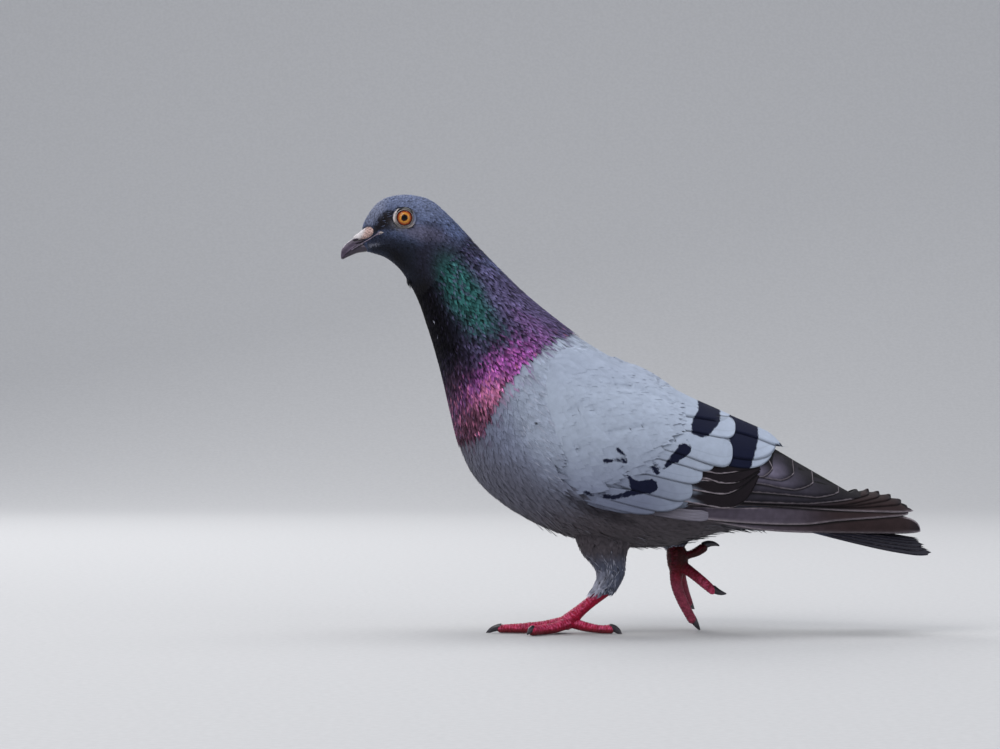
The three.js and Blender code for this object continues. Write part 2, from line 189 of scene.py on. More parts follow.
def wing_sizes(x):
    """The columns of WING at x, read at the row number that has this x."""
    return np.moveaxis(flow(WING, np.interp(x, WING_FINE_X, WING_FINE)), -1, 0)


def arch_rises(sizes):
    """How high the whole ellipse of the wing would stand over its widest point, and how far it would hang
    below, if it passes through the upper edge at the first angle and through the lower edge at the last."""
    _, top, wide, low, _, first, last = sizes
    return (top - wide) / np.cos(np.radians(first)), (wide - low) / -np.cos(np.radians(last))


def wing_surface(side):
    """A function of x and angle from the top, both over the folded wing: a flattened arch round the body."""

    def surface(x, a, depth=0.0):
        sizes = wing_sizes(x)
        wide, half = sizes[2], sizes[4]
        rise = np.where(np.cos(a) > 0, *arch_rises(sizes))
        y = side * (half - depth) * np.sin(a)
        return np.stack([x + 0 * a, y, wide + (rise - depth) * np.cos(a)], -1)

    return surface


def wing_angle(x, z):
    """The wing's angle from the top at a place in the side view: its height over the widest point is the
    rise times the cosine of the angle."""
    sizes = wing_sizes(x)
    over = z - sizes[2]
    return np.arccos(np.clip(over / np.where(over > 0, *arch_rises(sizes)), -0.995, 0.995))


# -------------------- meshes
def read(items, key, width, kind=np.int32):
    """One property of all of a mesh's items, width values each, as an array."""
    out = np.empty(len(items) * width, kind)
    items.foreach_get(key, out)
    return out.reshape(-1, width)


def make_mesh(name, points, faces, uv=None, bake=None, tint=None, lay=None, **floats):
    """An object whose vertices are points in bird millimetres, with per-vertex maps and attributes. Where lay
    gives the direction each point leans to and its share, the shading normals are drawn over towards it."""
    mesh = bpy.data.meshes.new(name)
    points = lift_into_frame(points).reshape(-1, 3)
    faces = np.asarray(faces, np.int32)
    mesh.vertices.add(len(points))
    mesh.vertices.foreach_set("co", points.ravel())
    mesh.loops.add(faces.size)
    mesh.loops.foreach_set("vertex_index", faces.ravel())
    mesh.polygons.add(len(faces))
    mesh.polygons.foreach_set("loop_start", np.arange(len(faces), dtype=np.int32) * faces.shape[1])
    mesh.polygons.foreach_set("use_smooth", np.ones(len(faces), bool))
    mesh.update(calc_edges=True)
    for label, values in (("vane", uv), ("OFBake", bake)):
        if values is not None:
            layer = mesh.uv_layers.new(name=label)
            layer.data.foreach_set("uv", np.asarray(values, float).reshape(-1, 2)[faces.ravel()].ravel())
    if tint is not None:
        tint = np.clip(np.asarray(tint, float).reshape(-1, 3), 0, 1)
        rgba = np.concatenate([tint, np.ones((len(tint), 1))], 1)
        mesh.attributes.new("tint", "FLOAT_COLOR", "POINT").data.foreach_set("color", rgba.ravel())
    for label, values in floats.items():
        values = np.ascontiguousarray(values, float).ravel()
        mesh.attributes.new(label, "FLOAT", "POINT").data.foreach_set("value", values)
    if lay is not None:
        direction, share = lay
        own = read(mesh.vertex_normals, "vector", 3, np.float32)
        drawn = own * (1 - share) + direction.reshape(-1, 3) * share
        mesh.normals_split_custom_set_from_vertices(unit(drawn, 1e-6).tolist())
    obj = bpy.data.objects.new(name, mesh)
    bpy.context.collection.objects.link(obj)
    return obj


def weld(obj, reach=2e-6):
    """Joins the doubled points of poles and seams and turns all faces outwards."""
    bm = bmesh.new()
    bm.from_mesh(obj.data)
    bmesh.ops.remove_doubles(bm, verts=bm.verts, dist=reach)
    bmesh.ops.recalc_face_normals(bm, faces=bm.faces)
    bm.to_mesh(obj.data)
    bm.free()
    return obj


def finish(obj, material, slot, *nodes):
    """Rides a piece on the still body, gives it its material and hides the solids that it stands for."""
    obj.data.materials.append(material)
    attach(obj, "root")
    if nodes:
        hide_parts(*nodes)
    return obj


def grid_faces(rows, cols, wrap=False):
    """Quads of a rows by cols grid of vertices, joined round on itself where wrap is set."""
    r = np.arange(rows - 1)[:, None]
    c = np.arange(cols if wrap else cols - 1)[None, :]
    right = (c + 1) % cols
    quads = np.stack([r * cols + c, r * cols + right, (r + 1) * cols + right, (r + 1) * cols + c], -1)
    return quads.reshape(-1, 4)


def turns(count):
    """Angles evenly spaced once round."""
    return np.arange(count) * TAU / count


def capped(rings):
    """Rings of points, with one more at each end that is drawn in to the middle of the last."""
    first, last = (np.repeat(rings[k].mean(0)[None, None], rings.shape[1], 1) for k in (0, -1))
    return np.concatenate([first, rings, last])


def joined(parts):
    """Several (points, faces, columns) as one, where columns is a dict of per-point arrays."""
    counts = [p.size // 3 for p, _, _ in parts]
    starts = np.cumsum([0] + counts)
    points = np.concatenate([p.reshape(-1, 3) for p, _, _ in parts])
    faces = np.concatenate([f + n for (_, f, _), n in zip(parts, starts)])
    columns = {}
    for key in parts[0][2]:
        columns[key] = np.concatenate([c[key].reshape(n, -1) for (_, _, c), n in zip(parts, counts)])
    return points, faces, columns


# -------------------- feathers
BARB_SLANT = 0.8  # how far a barb runs towards the tip for each step away from the shaft
UV_PER_MM = 0.1  # steps on the vane map for each millimetre


def vane_map(along, across):
    """Vane coordinates: the distance along the shaft where a point's barb leaves it, and across the vane."""
    return np.stack([(along - BARB_SLANT * np.abs(across)) * UV_PER_MM, across * UV_PER_MM], -1)


def vane_pattern(rows, cols):
    """The plan of one feather: s along it from 0 to 1, x across it from -1 to 1, top then underside."""
    s, x = np.meshgrid(np.linspace(0, 1, rows), np.linspace(-1, 1, cols), indexing="ij")
    top = grid_faces(rows, cols)[:, ::-1]
    under = grid_faces(rows, cols) + rows * cols
    return s.ravel(), x.ravel(), np.concatenate([top, under])


def lay_feathers(surface, u, v, lie, length, width, lift, pattern, tip, camber, thick):
    """Places one feather at each root (u, v) of a surface. Along it the feather follows the surface in the
    direction lie, in radians from the surface's u direction, and rises from nothing to lift at its tip. Its
    half width is a half and a sine swell, closing in a rounded end over the share tip, and it is a lens thick
    in its middle. Returns points, faces and a dict of each point's place on its feather and the way that the
    surface faces there."""
    s, x, faces = pattern
    u, v, lie, length, width, lift = np.broadcast_arrays(u, v, lie, length, width, lift)
    e = 1e-3  # step in u and v over which slopes are taken
    p = surface(u, v)
    pu = (surface(u + e, v) - p) / e
    pv = (surface(u, v + e) - p) / e
    normal = unit(np.cross(pu, pv))
    if np.sum(normal[:, 1] * p[:, 1]) < 0:
        normal = -normal
    run_u = unit(pu)
    side_u = np.cross(normal, run_u)
    run = np.cos(lie)[:, None] * run_u + np.sin(lie)[:, None] * side_u
    side = np.cross(normal, run)
    ee, ff, gg = (pu * pu).sum(-1), (pu * pv).sum(-1), (pv * pv).sum(-1)
    det = ee * gg - ff * ff

    def steps(direction):
        # one millimetre in a direction as steps of u and v, by the inverse of the surface's metric
        a, b = (direction * pu).sum(-1), (direction * pv).sum(-1)
        return (gg * a - ff * b) / det, (ee * b - ff * a) / det

    ru, rv = steps(run)
    su, sv = steps(side)
    swell = 0.5 + 0.5 * np.sin(np.pi * (s * 0.9 + 0.05)) ** 0.8
    close = np.sqrt(np.clip(1 - np.clip((s - 1 + tip) / tip, 0, 1) ** 2.6, 0, 1))
    half = np.maximum(swell * close, 0.1)
    along = (s - 0.10 * s * x * x)[None] * length[:, None]
    across = (x * half)[None] * width[:, None] / 2
    uu = u[:, None] + along * ru[:, None] + across * su[:, None]
    vv = v[:, None] + along * rv[:, None] + across * sv[:, None]
    on = surface(uu, vv)
    height = lift[:, None] * s**1.3 + camber * width[:, None] * (1 - x**2) * (0.3 + 0.7 * s)
    inner = thick * (1 - x**2) * np.sin(np.pi * s)
    n = normal[:, None, :]
    top = on + n * height[..., None]
    under = on + n * (height - inner)[..., None]
    points = np.concatenate([top, under], 1)
    count = points.shape[1]
    all_faces = (faces[None] + (np.arange(len(u)) * count)[:, None, None]).reshape(-1, 4)
    two = lambda values: np.concatenate([values, values], 1)
    shape = (len(u), len(s))
    lean = unit(np.cross(surface(uu + e, vv) - on, surface(uu, vv + e) - on), 1e-9)
    lean *= np.sign((lean * n).sum(-1, keepdims=True))
    columns = {
        "s": two(np.broadcast_to(s, shape)),
        "x": two(np.broadcast_to(x, shape)),
        "along": two(along),
        "across": two(across),
        "lean": np.concatenate([lean, -lean], 1),
    }
    return points, all_faces, columns


BLADE_COLS = 9  # points across a long feather
ROOT_WIDTH = 0.6  # width of its root as a share of its full width
SHAFT = 0.32  # place of its shaft, as a share of its width from its lower edge
FOLD_GAP = [15, 50], [6.5, 0.3]  # how near to the midline a vane that turns over may come, by x


def lay_blade(place, edge, width, layer, side, camber, thick, rows=40, round_from=0.72, blunt=2.2, rise=0.0,
              fray=0.0, sag=0.0, crest=None, tooth=0.0, under=None):
    """One long feather on a surface place(x, z, depth). Its lower edge follows the points of edge, and its
    upper edge lies width above that, narrower at the root and closing round to the tip by a power curve. The
    share rise of that closing is taken from the lower edge. The vane arches by camber over its middle and is
    a lens thick there. Where fray is set the tip is cut back unevenly by up to that share of the length. The
    tip lies sag deeper than the middle, the root a little deeper too, and any place deeper by under(x, z).
    With a crest line the feather reaches up to it at its own tip, and a tooth's height less before: what is
    left of its width turns over there and runs level towards the middle of the back. Also returns the lower
    edge's run in the side view."""
    edge = np.asarray(edge, float)
    last = len(edge) - 1
    s, x = np.meshgrid(1 - (1 - np.linspace(0, 1, rows)) ** 1.5, np.linspace(0, 1, BLADE_COLS), indexing="ij")
    s = s * (1 - fray * (0.5 + 0.5 * np.sin(x * 41 + edge[-1, 1])) * smooth(0.7, 1, s))
    path = flow(edge, s * last)
    ahead = unit(flow(edge, np.clip(s + 0.02, 0, 1) * last) - flow(edge, np.clip(s - 0.02, 0, 1) * last))
    up = np.stack([-ahead[..., 1], ahead[..., 0]], -1)
    close = np.clip(1 - np.clip((s - round_from) / (1 - round_from), 0, 1) ** blunt, 0, 1) ** (1 / blunt)
    full = width * (ROOT_WIDTH + (1 - ROOT_WIDTH) * smooth(0, 0.5, s))
    wide = full * np.maximum(close, 0.02)
    foot = (full - wide) * rise
    at = path + up * (wide * x + foot)[..., None]
    over = np.zeros_like(s)
    if crest is not None:
        limit = np.interp(at[..., 0], *crest) - tooth * smooth(1.0, 5.0, edge[-1, 0] - at[..., 0])
        over = np.maximum(at[..., 1] - limit, 0)
        at[..., 1] -= over
    layer = layer + sag * smooth(0.75, 1.0, s) + 0.9 * smooth(0.2, 0.0, s)
    if under is not None:
        layer = layer + under(at[..., 0], at[..., 1])
    arch = camber * np.sin(np.pi * x) * smooth(0, 0.3, s)
    inner = thick * np.sin(np.pi * x) * np.sin(np.pi * np.clip(s, 0, 1)) ** 0.5
    top = place(at[..., 0], at[..., 1], layer - arch)
    back = place(at[..., 0], at[..., 1], layer - arch + inner)
    for face in (top, back):
        y = face[..., 1]
        y -= np.sign(y) * np.clip(np.abs(y) - np.interp(at[..., 0], *FOLD_GAP), 0, over)
    points = np.concatenate([top.reshape(-1, 3), back.reshape(-1, 3)])
    quads = grid_faces(rows, BLADE_COLS)
    outside, inside = (quads[:, ::-1], quads) if side == LEFT else (quads, quads[:, ::-1])
    faces = np.concatenate([outside, inside + rows * BLADE_COLS])
    along = s * arc_length(edge)[-1]
    steep = lambda line: np.hypot(1, np.gradient(line, axis=0) / np.gradient(along, axis=0))
    two = lambda values: np.concatenate([values.ravel(), values.ravel()])
    columns = {
        "s": two(s),
        "x": two(np.where(x < SHAFT, (x - SHAFT) / SHAFT, (x - SHAFT) / (1 - SHAFT))),
        "along": two(along),
        "across": two((x - SHAFT) * wide),
        "rim": two(np.minimum(wide * x / steep(foot), wide * (1 - x) / steep(foot + wide))),
        "over": two(over),
    }
    return points, faces, columns, at[:, 0]


# -------------------- settings
def srgb(r, g, b):
    """A colour given in 0 to 255 steps as the linear values that shaders use."""
    c = np.array([r, g, b]) / 255
    return tuple(np.where(c < 0.04045, c / 12.92, ((c + 0.055) / 1.055) ** 2.4))


def colour(name, text, r, g, b):
    """A colour setting with its default."""
    default = srgb(r, g, b)
    return FloatVectorProperty(name=name, description=text, subtype="COLOR", min=0, max=1, default=default)


class PigeonPlumage(bpy.types.PropertyGroup):
    """Colours of the feathers."""

    crown: colour("Crown", "Slate blue of the crown", 102, 112, 142)
    nape: colour("Nape", "Duller slate of the sides of the head", 84, 97, 131)
    cheek: colour("Cheek", "Violet grey of the cheek", 98, 97, 120)
    face: colour("Face", "Blackish grey between bill and eye", 26, 22, 28)
    under_eye: colour("Under the eye", "Olive grey below the eye", 84, 82, 82)
    throat: colour("Throat", "Near black of the chin and front of the neck", 9, 8, 12)
    neck: colour("Neck", "Dark violet slate between the glossy zones", 50, 46, 68)
    green: colour("Neck green", "Green gloss on the upper neck", 46, 94, 92)
    violet: colour("Neck violet", "Violet gloss on the back of the neck", 85, 78, 111)
    magenta: colour("Neck magenta", "Magenta gloss on the lower neck", 156, 84, 158)
    rose: colour("Neck rose", "Pinker gloss at the foot of the magenta", 186, 112, 144)
    maroon: colour("Neck maroon", "Brown red at the foot of the neck", 94, 60, 78)
    breast: colour("Breast", "Blue grey of the breast", 114, 120, 143)
    # painted shade: the belly colour is darker than the belly's own blue grey, for the shade under the body
    belly: colour("Belly", "Dull brown grey of the belly and flanks", 76, 70, 75)
    mantle: colour("Mantle", "Pale blue grey of the back", 163, 173, 190)
    covert: colour("Coverts", "Pale grey of the folded wing", 165, 175, 192)
    bar: colour("Wing bars", "Blue black of the two wing bars", 19, 23, 45)
    flight: colour("Flight feathers", "Dark plum grey of the wing tips", 29, 26, 32)
    flight_lit: colour("Pale flight vanes", "Plum grey of each wing tip feather's lower half", 108, 102, 120)
    inner: colour("Inner flight feathers", "Plum brown of the curved inner flight feathers", 24, 17, 23)
    worn: colour("Worn tips", "Brown of the longest wing feathers", 47, 35, 36)
    fringe: colour("Fringes", "Pale edges of the flight feathers", 186, 174, 182)
    tail: colour("Tail", "Near black of the tail feathers", 21, 20, 32)
    tail_base: colour("Tail base", "Slate of the tail before its dark end", 84, 90, 108)
    primary_covert: colour("Primary coverts", "Brown grey of the lowest coverts", 132, 128, 140)
    wisp: colour("Thigh wisps", "Pale loose barbs on the thigh", 176, 178, 194)


class PigeonBareParts(bpy.types.PropertyGroup):
    """Colours of the bill, eyes, legs and claws."""

    bill: colour("Bill", "Dark horn of the bill", 66, 54, 72)
    bill_edge: colour("Bill edge", "Paler horn along the cutting edges", 128, 116, 134)
    cere: colour("Cere", "White of the front of the cere", 212, 206, 208)
    cere_rear: colour("Cere root", "Pink brown at the back of the cere", 196, 164, 156)
    iris_inner: colour("Inner iris", "Yellow orange round the pupil", 202, 142, 58)
    iris_outer: colour("Outer iris", "Red brown rim of the iris", 134, 48, 15)
    eye_ring: colour("Eye ring", "Bare pale skin round the eye", 172, 160, 157)
    leg: colour("Legs", "Crimson of the legs and toes", 168, 14, 54)
    leg_edge: colour("Scale edges", "Pink of the scale edges", 226, 98, 142)
    toe_pad: colour("Toe pads", "Dull olive red of the soles", 104, 44, 46)
    claw: colour("Claws", "Dark horn of the claws", 46, 42, 48)


class PigeonFeathering(bpy.types.PropertyGroup):
    """Sizes of the coat."""

    seed: IntProperty(name="Seed", description="Start of the random draws", default=7, min=0)
    coat_head: FloatProperty(name="Head coat", description="Depth of the coat on the head", default=0.0011,
                             subtype="DISTANCE", unit="LENGTH")
    coat_trunk: FloatProperty(name="Trunk coat", description="Depth of the coat on the trunk", default=0.0026,
                              subtype="DISTANCE", unit="LENGTH")


def tone(name):
    """A plumage or bare part colour as an array."""
    scene = bpy.context.scene
    group = scene.pigeon_plumage if hasattr(scene.pigeon_plumage, name) else scene.pigeon_bare
    return np.array(getattr(group, name)[:])


def draws(number):
    """The random draws of one piece."""
    return np.random.default_rng(bpy.context.scene.pigeon_feathering.seed + number)


def plain_tint(count, name):
    """One colour at every one of count points."""
    return np.ones((count, 3)) * tone(name)


# -------------------- markings
def blend(base, top, share):
    """Base colours with a top colour, or the one of that name, over them by a share at each point."""
    top = tone(top) if isinstance(top, str) else top
    return base + (top - base) * np.asarray(share)[..., None]


# Where the glossy neck gives way to the pale back and breast: angle from the back, and section number there.
NECK_EDGE_ANGLE = [0.0, 1.0, 1.47, 1.83, 2.09, 2.31, 3.14]
NECK_EDGE_SECTION = [10.55, 10.48, 10.78, 11.08, 11.6, 12.0, 11.85]


def neck_edge(a):
    """Section number of the foot of the glossy neck at an angle, the same on both sides."""
    return np.interp(math.pi - np.abs(math.pi - a % TAU), NECK_EDGE_ANGLE, NECK_EDGE_SECTION)


# Soft zones of colour in the side view: middle (x, z), half length, half breadth, tilt in degrees, colour,
# share.
HEAD_ZONES = (
    (-104.0, 206.5, 24.0, 8.0, -8, "crown", 1.0),
    # painted highlight: the crown colour over the forehead, lighter where light falls on it from above
    (-125.6, 199.4, 7.5, 3.8, 58, "crown", 0.9),
    (-101.5, 192.0, 12.0, 4.2, -6, "cheek", 0.95),
    (-98.5, 196.4, 6.5, 1.5, -14, "face", 0.45),
    (-126.2, 200.4, 6.5, 3.2, 58, "wisp", 0.26),
    (-121.2, 197.2, 6.4, 3.3, 52, "face", 1.0),
    (-118.6, 193.8, 3.4, 1.5, 10, "face", 0.6),
    (-124.4, 193.4, 4.4, 1.5, 42, "face", 0.75),
    (-123.5, 186.4, 8.0, 4.0, 4, "face", 0.7),
    (-116.0, 194.8, 3.2, 2.0, -30, "under_eye", 0.75),
    (-107.0, 180.0, 16.0, 7.5, -26, "throat", 0.9),
    (-121.5, 182.0, 9.0, 3.2, -8, "throat", 0.7),
    (-127.0, 185.2, 2.8, 0.8, 14, "wisp", 0.3),
    (-97.0, 181.0, 10.0, 5.5, -50, "throat", 0.9),
)
NECK_ZONES = (
    (-86.0, 178.0, 12.0, 14.0, -50, "throat", 0.95),
    (-71.0, 175.5, 9.0, 5.0, -50, "nape", 1.0),
    (-90.0, 197.0, 9.0, 5.0, -50, "nape", 0.8),
    (-58.0, 158.5, 34.0, 9.0, -41, "violet", 0.95),
    (-84.2, 164.0, 18.5, 8.6, -61, "green", 0.92),
    (-72.0, 150.0, 8.0, 5.0, -40, "green", 0.35),
    (-50.0, 147.0, 14.0, 4.2, -38, "magenta", 0.16),
    (-79.5, 135.5, 6.0, 3.4, -50, "violet", 0.6),
    (-67.5, 124.6, 22.0, 8.8, 42, "magenta", 1.0),
    (-73.0, 112.0, 15.0, 6.6, 46, "rose", 0.85),
    (-81.0, 101.5, 15.0, 8.6, 60, "maroon", 0.95),
    (-90.0, 118.0, 14.0, 5.0, 72, "maroon", 0.4),
)
TRUNK_ZONES = (
    # the belly zones lay the belly colour, with its painted shade, over the lower trunk
    (-70.0, 64.0, 60.0, 24.0, -34, "belly", 0.6),
    (0.0, 46.0, 60.0, 24.0, 0, "belly", 1.0),
    (-46.0, 112.0, 17.0, 30.0, 12, "covert", 0.75),
    # painted shadow: a dark strip on the flank under the wing's lower front edge, in the colour of the face
    (-25.0, 62.0, 17.0, 3.2, -26, "face", 0.75),
)


def zoned(out, zones, x, z):
    """Lays each zone over the colours: full at its middle, and falling off as 1 / (1 + r^6) past its edge."""
    for zx, zz, long, broad, tilt, shade, share in zones:
        along, across = tilted(x - zx, z - zz, math.radians(tilt))
        r = np.hypot(along / long, across / broad)
        out = blend(out, tone(shade), share / (1 + r**6))
    return out


def body_tone(t, a):
    """Colour and gloss of the body at section t and angle a: zones of the side view and a dark throat."""
    x, _, z = np.moveaxis(body_surface(t, a), -1, 0)
    front = (1 - np.cos(a)) / 2  # 0 at the back, 1 at the throat and belly
    ones = np.ones(np.shape(t) + (3,))
    out = zoned(ones * tone("nape"), HEAD_ZONES, x, z)
    out = blend(out, "throat", 0.85 * smooth(0.72, 0.94, front) * smooth(1.0, 3.2, t))
    glossy = zoned(ones * tone("neck"), NECK_ZONES, x, z)
    dark_front = smooth(0.55, 0.86, front) * smooth(10.9, 8.9, t)
    glossy = blend(glossy, "throat", 0.97 * dark_front)
    neck = smooth(4.6, 6.8, t + 0.6 * front)
    out = blend(out, glossy, neck)
    trunk = zoned(ones * tone("breast"), TRUNK_ZONES, x, z)
    trunk = blend(trunk, "mantle", smooth(0.42, 0.26, front))
    edge = neck_edge(a)
    out = blend(out, trunk, smooth(edge - 0.22, edge + 0.22, t))
    return out, neck * smooth(edge - 0.1, edge - 0.5, t) * (1 - 0.9 * dark_front)


# Dark marks of the folded wing in the side view: start (x, z), end (x, z), half width at start and end.
FRONT_BAR = (
    (35.0, 112.0, 35.2, 102.4, 5.4, 5.2),
    (33.4, 101.4, 31.8, 98.8, 5.8, 5.3),
    (27.4, 96.4, 27.0, 94.6, 1.5, 0.7),
    (23.8, 87.8, 18.6, 83.4, 2.7, 2.4),
    (17.2, 82.4, 13.2, 78.2, 1.7, 0.7),
    (18.6, 92.8, 20.4, 89.8, 0.35, 0.6),
    (24.6, 92.4, 25.2, 89.6, 0.45, 0.7),
    (8.4, 82.0, 10.2, 76.6, 0.5, 1.1),
    (12.3, 81.6, 10.7, 76.8, 0.35, 0.7),
    (7.2, 79.0, 9.6, 77.0, 0.5, 1.0),
    (7.0, 70.0, 0.4, 69.2, 3.4, 3.1),
    (0.0, 69.8, -4.6, 75.6, 2.4, 0.4),
    (0.2, 67.8, -2.4, 65.6, 1.8, 0.9),
    (-2.0, 66.8, -10.0, 64.7, 1.4, 1.1),
    (-10.0, 64.7, -16.5, 65.2, 1.1, 0.8),
    (-24.6, 67.2, -20.6, 65.8, 0.9, 0.5),
)
REAR_BAR = (
    (50.8, 106.0, 51.8, 93.0, 7.4, 7.0),
    (51.8, 93.0, 49.8, 82.0, 7.0, 6.0),
)
FLECK_STROKES = (
    (-8.6, 87.4, -5.8, 85.2, 1.0, 0.9),
    (-14.6, 82.0, -12.0, 82.4, 1.2, 0.8),
    (-9.6, 82.9, -5.0, 82.0, 0.7, 1.1),
    (67.2, 89.6, 70.6, 90.2, 0.7, 1.0),
)


def stroke_field(strokes, x, z):
    """Millimetres inside the nearest mark, negative outside: its half width less the distance to its line."""
    p = np.stack([np.asarray(x, float), np.asarray(z, float)], -1)
    field = np.full(p.shape[:-1], -50.0)
    for x0, z0, x1, z1, r0, r1 in strokes:
        start, run = np.array([x0, z0]), np.array([x1 - x0, z1 - z0])
        f = np.clip(((p - start) @ run) / (run @ run), 0, 1)
        gap = np.linalg.norm(p - start - f[..., None] * run, axis=-1)
        field = np.maximum(field, r0 + (r1 - r0) * f - gap)
    return field


def wing_tone(x, z):
    """Colour of the folded wing in the side view: pale, a little bluer and darker low down and in front,
    where the darkening low down is painted shade from light falling from above.
    """
    out = np.ones(np.shape(x) + (3,)) * tone("covert")
    # painted shade: the wing darker low down, in front and behind, as the light falls from above
    low = 0.88 * smooth(100, 60, z) * smooth(40, 0, x) + 0.3 * smooth(78, 60, z) * smooth(10, 40, x)
    low = low + 0.2 * smooth(112, 128, z)
    return blend(out, "breast", np.clip(low + 0.25 * smooth(-40, -54, x) * smooth(118, 96, z), 0, 1))


# -------------------- materials
def node(mat, kind, **settings):
    """A new shader node of a kind, with settings."""
    made = mat.node_tree.nodes.new("ShaderNode" + kind)
    for key, value in settings.items():
        setattr(made, key, value)
    return made


def preset(made, **values):
    """Sets inputs of a node, where _ in a name stands for a space."""
    for name, value in values.items():
        made.inputs[name.replace("_", " ")].default_value = value


def link(mat, source, target):
    """Joins two sockets."""
    mat.node_tree.links.new(source, target)


def ramp(mat, value, stops):
    """A colour ramp over value with stops of (place, colour)."""
    made = node(mat, "ValToRGB")
    elements = made.color_ramp.elements
    while len(elements) < len(stops):
        elements.new(0.5)
    for element, (place, rgb) in zip(elements, stops):
        element.position = place
        element.color = (*rgb[:3], 1)
    link(mat, value, made.inputs["Fac"])
    return made.outputs["Color"]


def span(mat, value, low, high, to_low=0.0, to_high=1.0):
    """Maps value from low..high to to_low..to_high, held at the ends, with a soft start and stop."""
    made = node(mat, "MapRange", interpolation_type="SMOOTHSTEP")
    preset(made, From_Min=low, From_Max=high, To_Min=to_low, To_Max=to_high)
    link(mat, value, made.inputs["Value"])
    return made.outputs["Result"]


def noise(mat, scale, detail=4.0, stretch=None):
    """Noise over the piece's own object coordinates, stretched along an axis where stretch is given."""
    vector = node(mat, "TexCoord").outputs["Object"]
    if stretch is not None:
        mapping = node(mat, "Mapping")
        preset(mapping, Scale=stretch)
        link(mat, vector, mapping.inputs["Vector"])
        vector = mapping.outputs["Vector"]
    made = node(mat, "TexNoise")
    preset(made, Scale=scale, Detail=detail)
    link(mat, vector, made.inputs["Vector"])
    return made.outputs["Fac"]


def patchy(mat, scale, detail, low=0.0, high=1.0, ends=(0.3, 0.7), stretch=None):
    """Noise spread from low to high, with the parts of it past ends held even."""
    return span(mat, noise(mat, scale, detail, stretch), *ends, low, high)


def maths(mat, operation, a, b):
    """One sum of two sockets or numbers."""
    made = node(mat, "Math", operation=operation)
    for slot, value in zip(made.inputs, (a, b)):
        if isinstance(value, (int, float)):
            slot.default_value = value
        else:
            link(mat, value, slot)
    return made.outputs["Value"]


def mixed(mat, share, base, top):
    """Base colour with the top colour over it by share."""
    made = node(mat, "Mix", data_type="RGBA")
    for slot, value in ((made.inputs[0], share), (made.inputs[6], base), (made.inputs[7], top)):
        if isinstance(value, (int, float)):
            slot.default_value = value
        elif isinstance(value, (tuple, np.ndarray)):
            slot.default_value = (*value[:3], 1)
        else:
            link(mat, value, slot)
    return made.outputs[2]


def attribute(mat, name, output="Fac"):
    """A per-vertex attribute of the piece as a socket."""
    return node(mat, "Attribute", attribute_name=name).outputs[output]


def tinted(mat):
    """The piece's own painted colour as a socket."""
    return attribute(mat, "tint", "Color")


def paint(mat, bsdf, tint, shade):
    """Gives a finish its base colour: a tint times a shade."""
    made = node(mat, "VectorMath", operation="SCALE")
    link(mat, tint, made.inputs[0])
    link(mat, shade, made.inputs["Scale"])
    link(mat, made.outputs["Vector"], bsdf.inputs["Base Color"])


def bump(mat, bsdf, height, depth, under=None):
    """Gives a finish small relief of a height map, depth metres high, over the relief under where given."""
    made = node(mat, "Bump")
    preset(made, Distance=depth)
    link(mat, height, made.inputs["Height"])
    if under is not None:
        link(mat, under, made.inputs["Normal"])
    link(mat, made.outputs["Normal"], bsdf.inputs["Normal"])
    return made.outputs["Normal"]


def new_material(name, roughness, level=0.5):
    """A new finish of a roughness and a level of plain reflection."""
    mat = bpy.data.materials.new(name)
    mat.use_nodes = True
    bsdf = mat.node_tree.nodes["Principled BSDF"]
    preset(bsdf, Roughness=roughness, Specular_IOR_Level=level)
    return mat, bsdf


def barbs(mat, scale):
    """Bands that follow the barbs on the vane map, broken up by noise."""
    uv = node(mat, "UVMap", uv_map="vane")
    wave = node(mat, "TexWave", wave_type="BANDS", bands_direction="X")
    preset(wave, Scale=scale, Distortion=2.5, Detail=2, Detail_Scale=3)
    link(mat, uv.outputs["UV"], wave.inputs["Vector"])
    return wave.outputs["Fac"]


BARB_DEPTH = 0.00006  # height of the barbs, in metres
RAGGED = 0.3  # how far the edge of a dark mark wanders, in millimetres
QUILL_SHADE = 0.92  # how dark a shaft is beside its vane


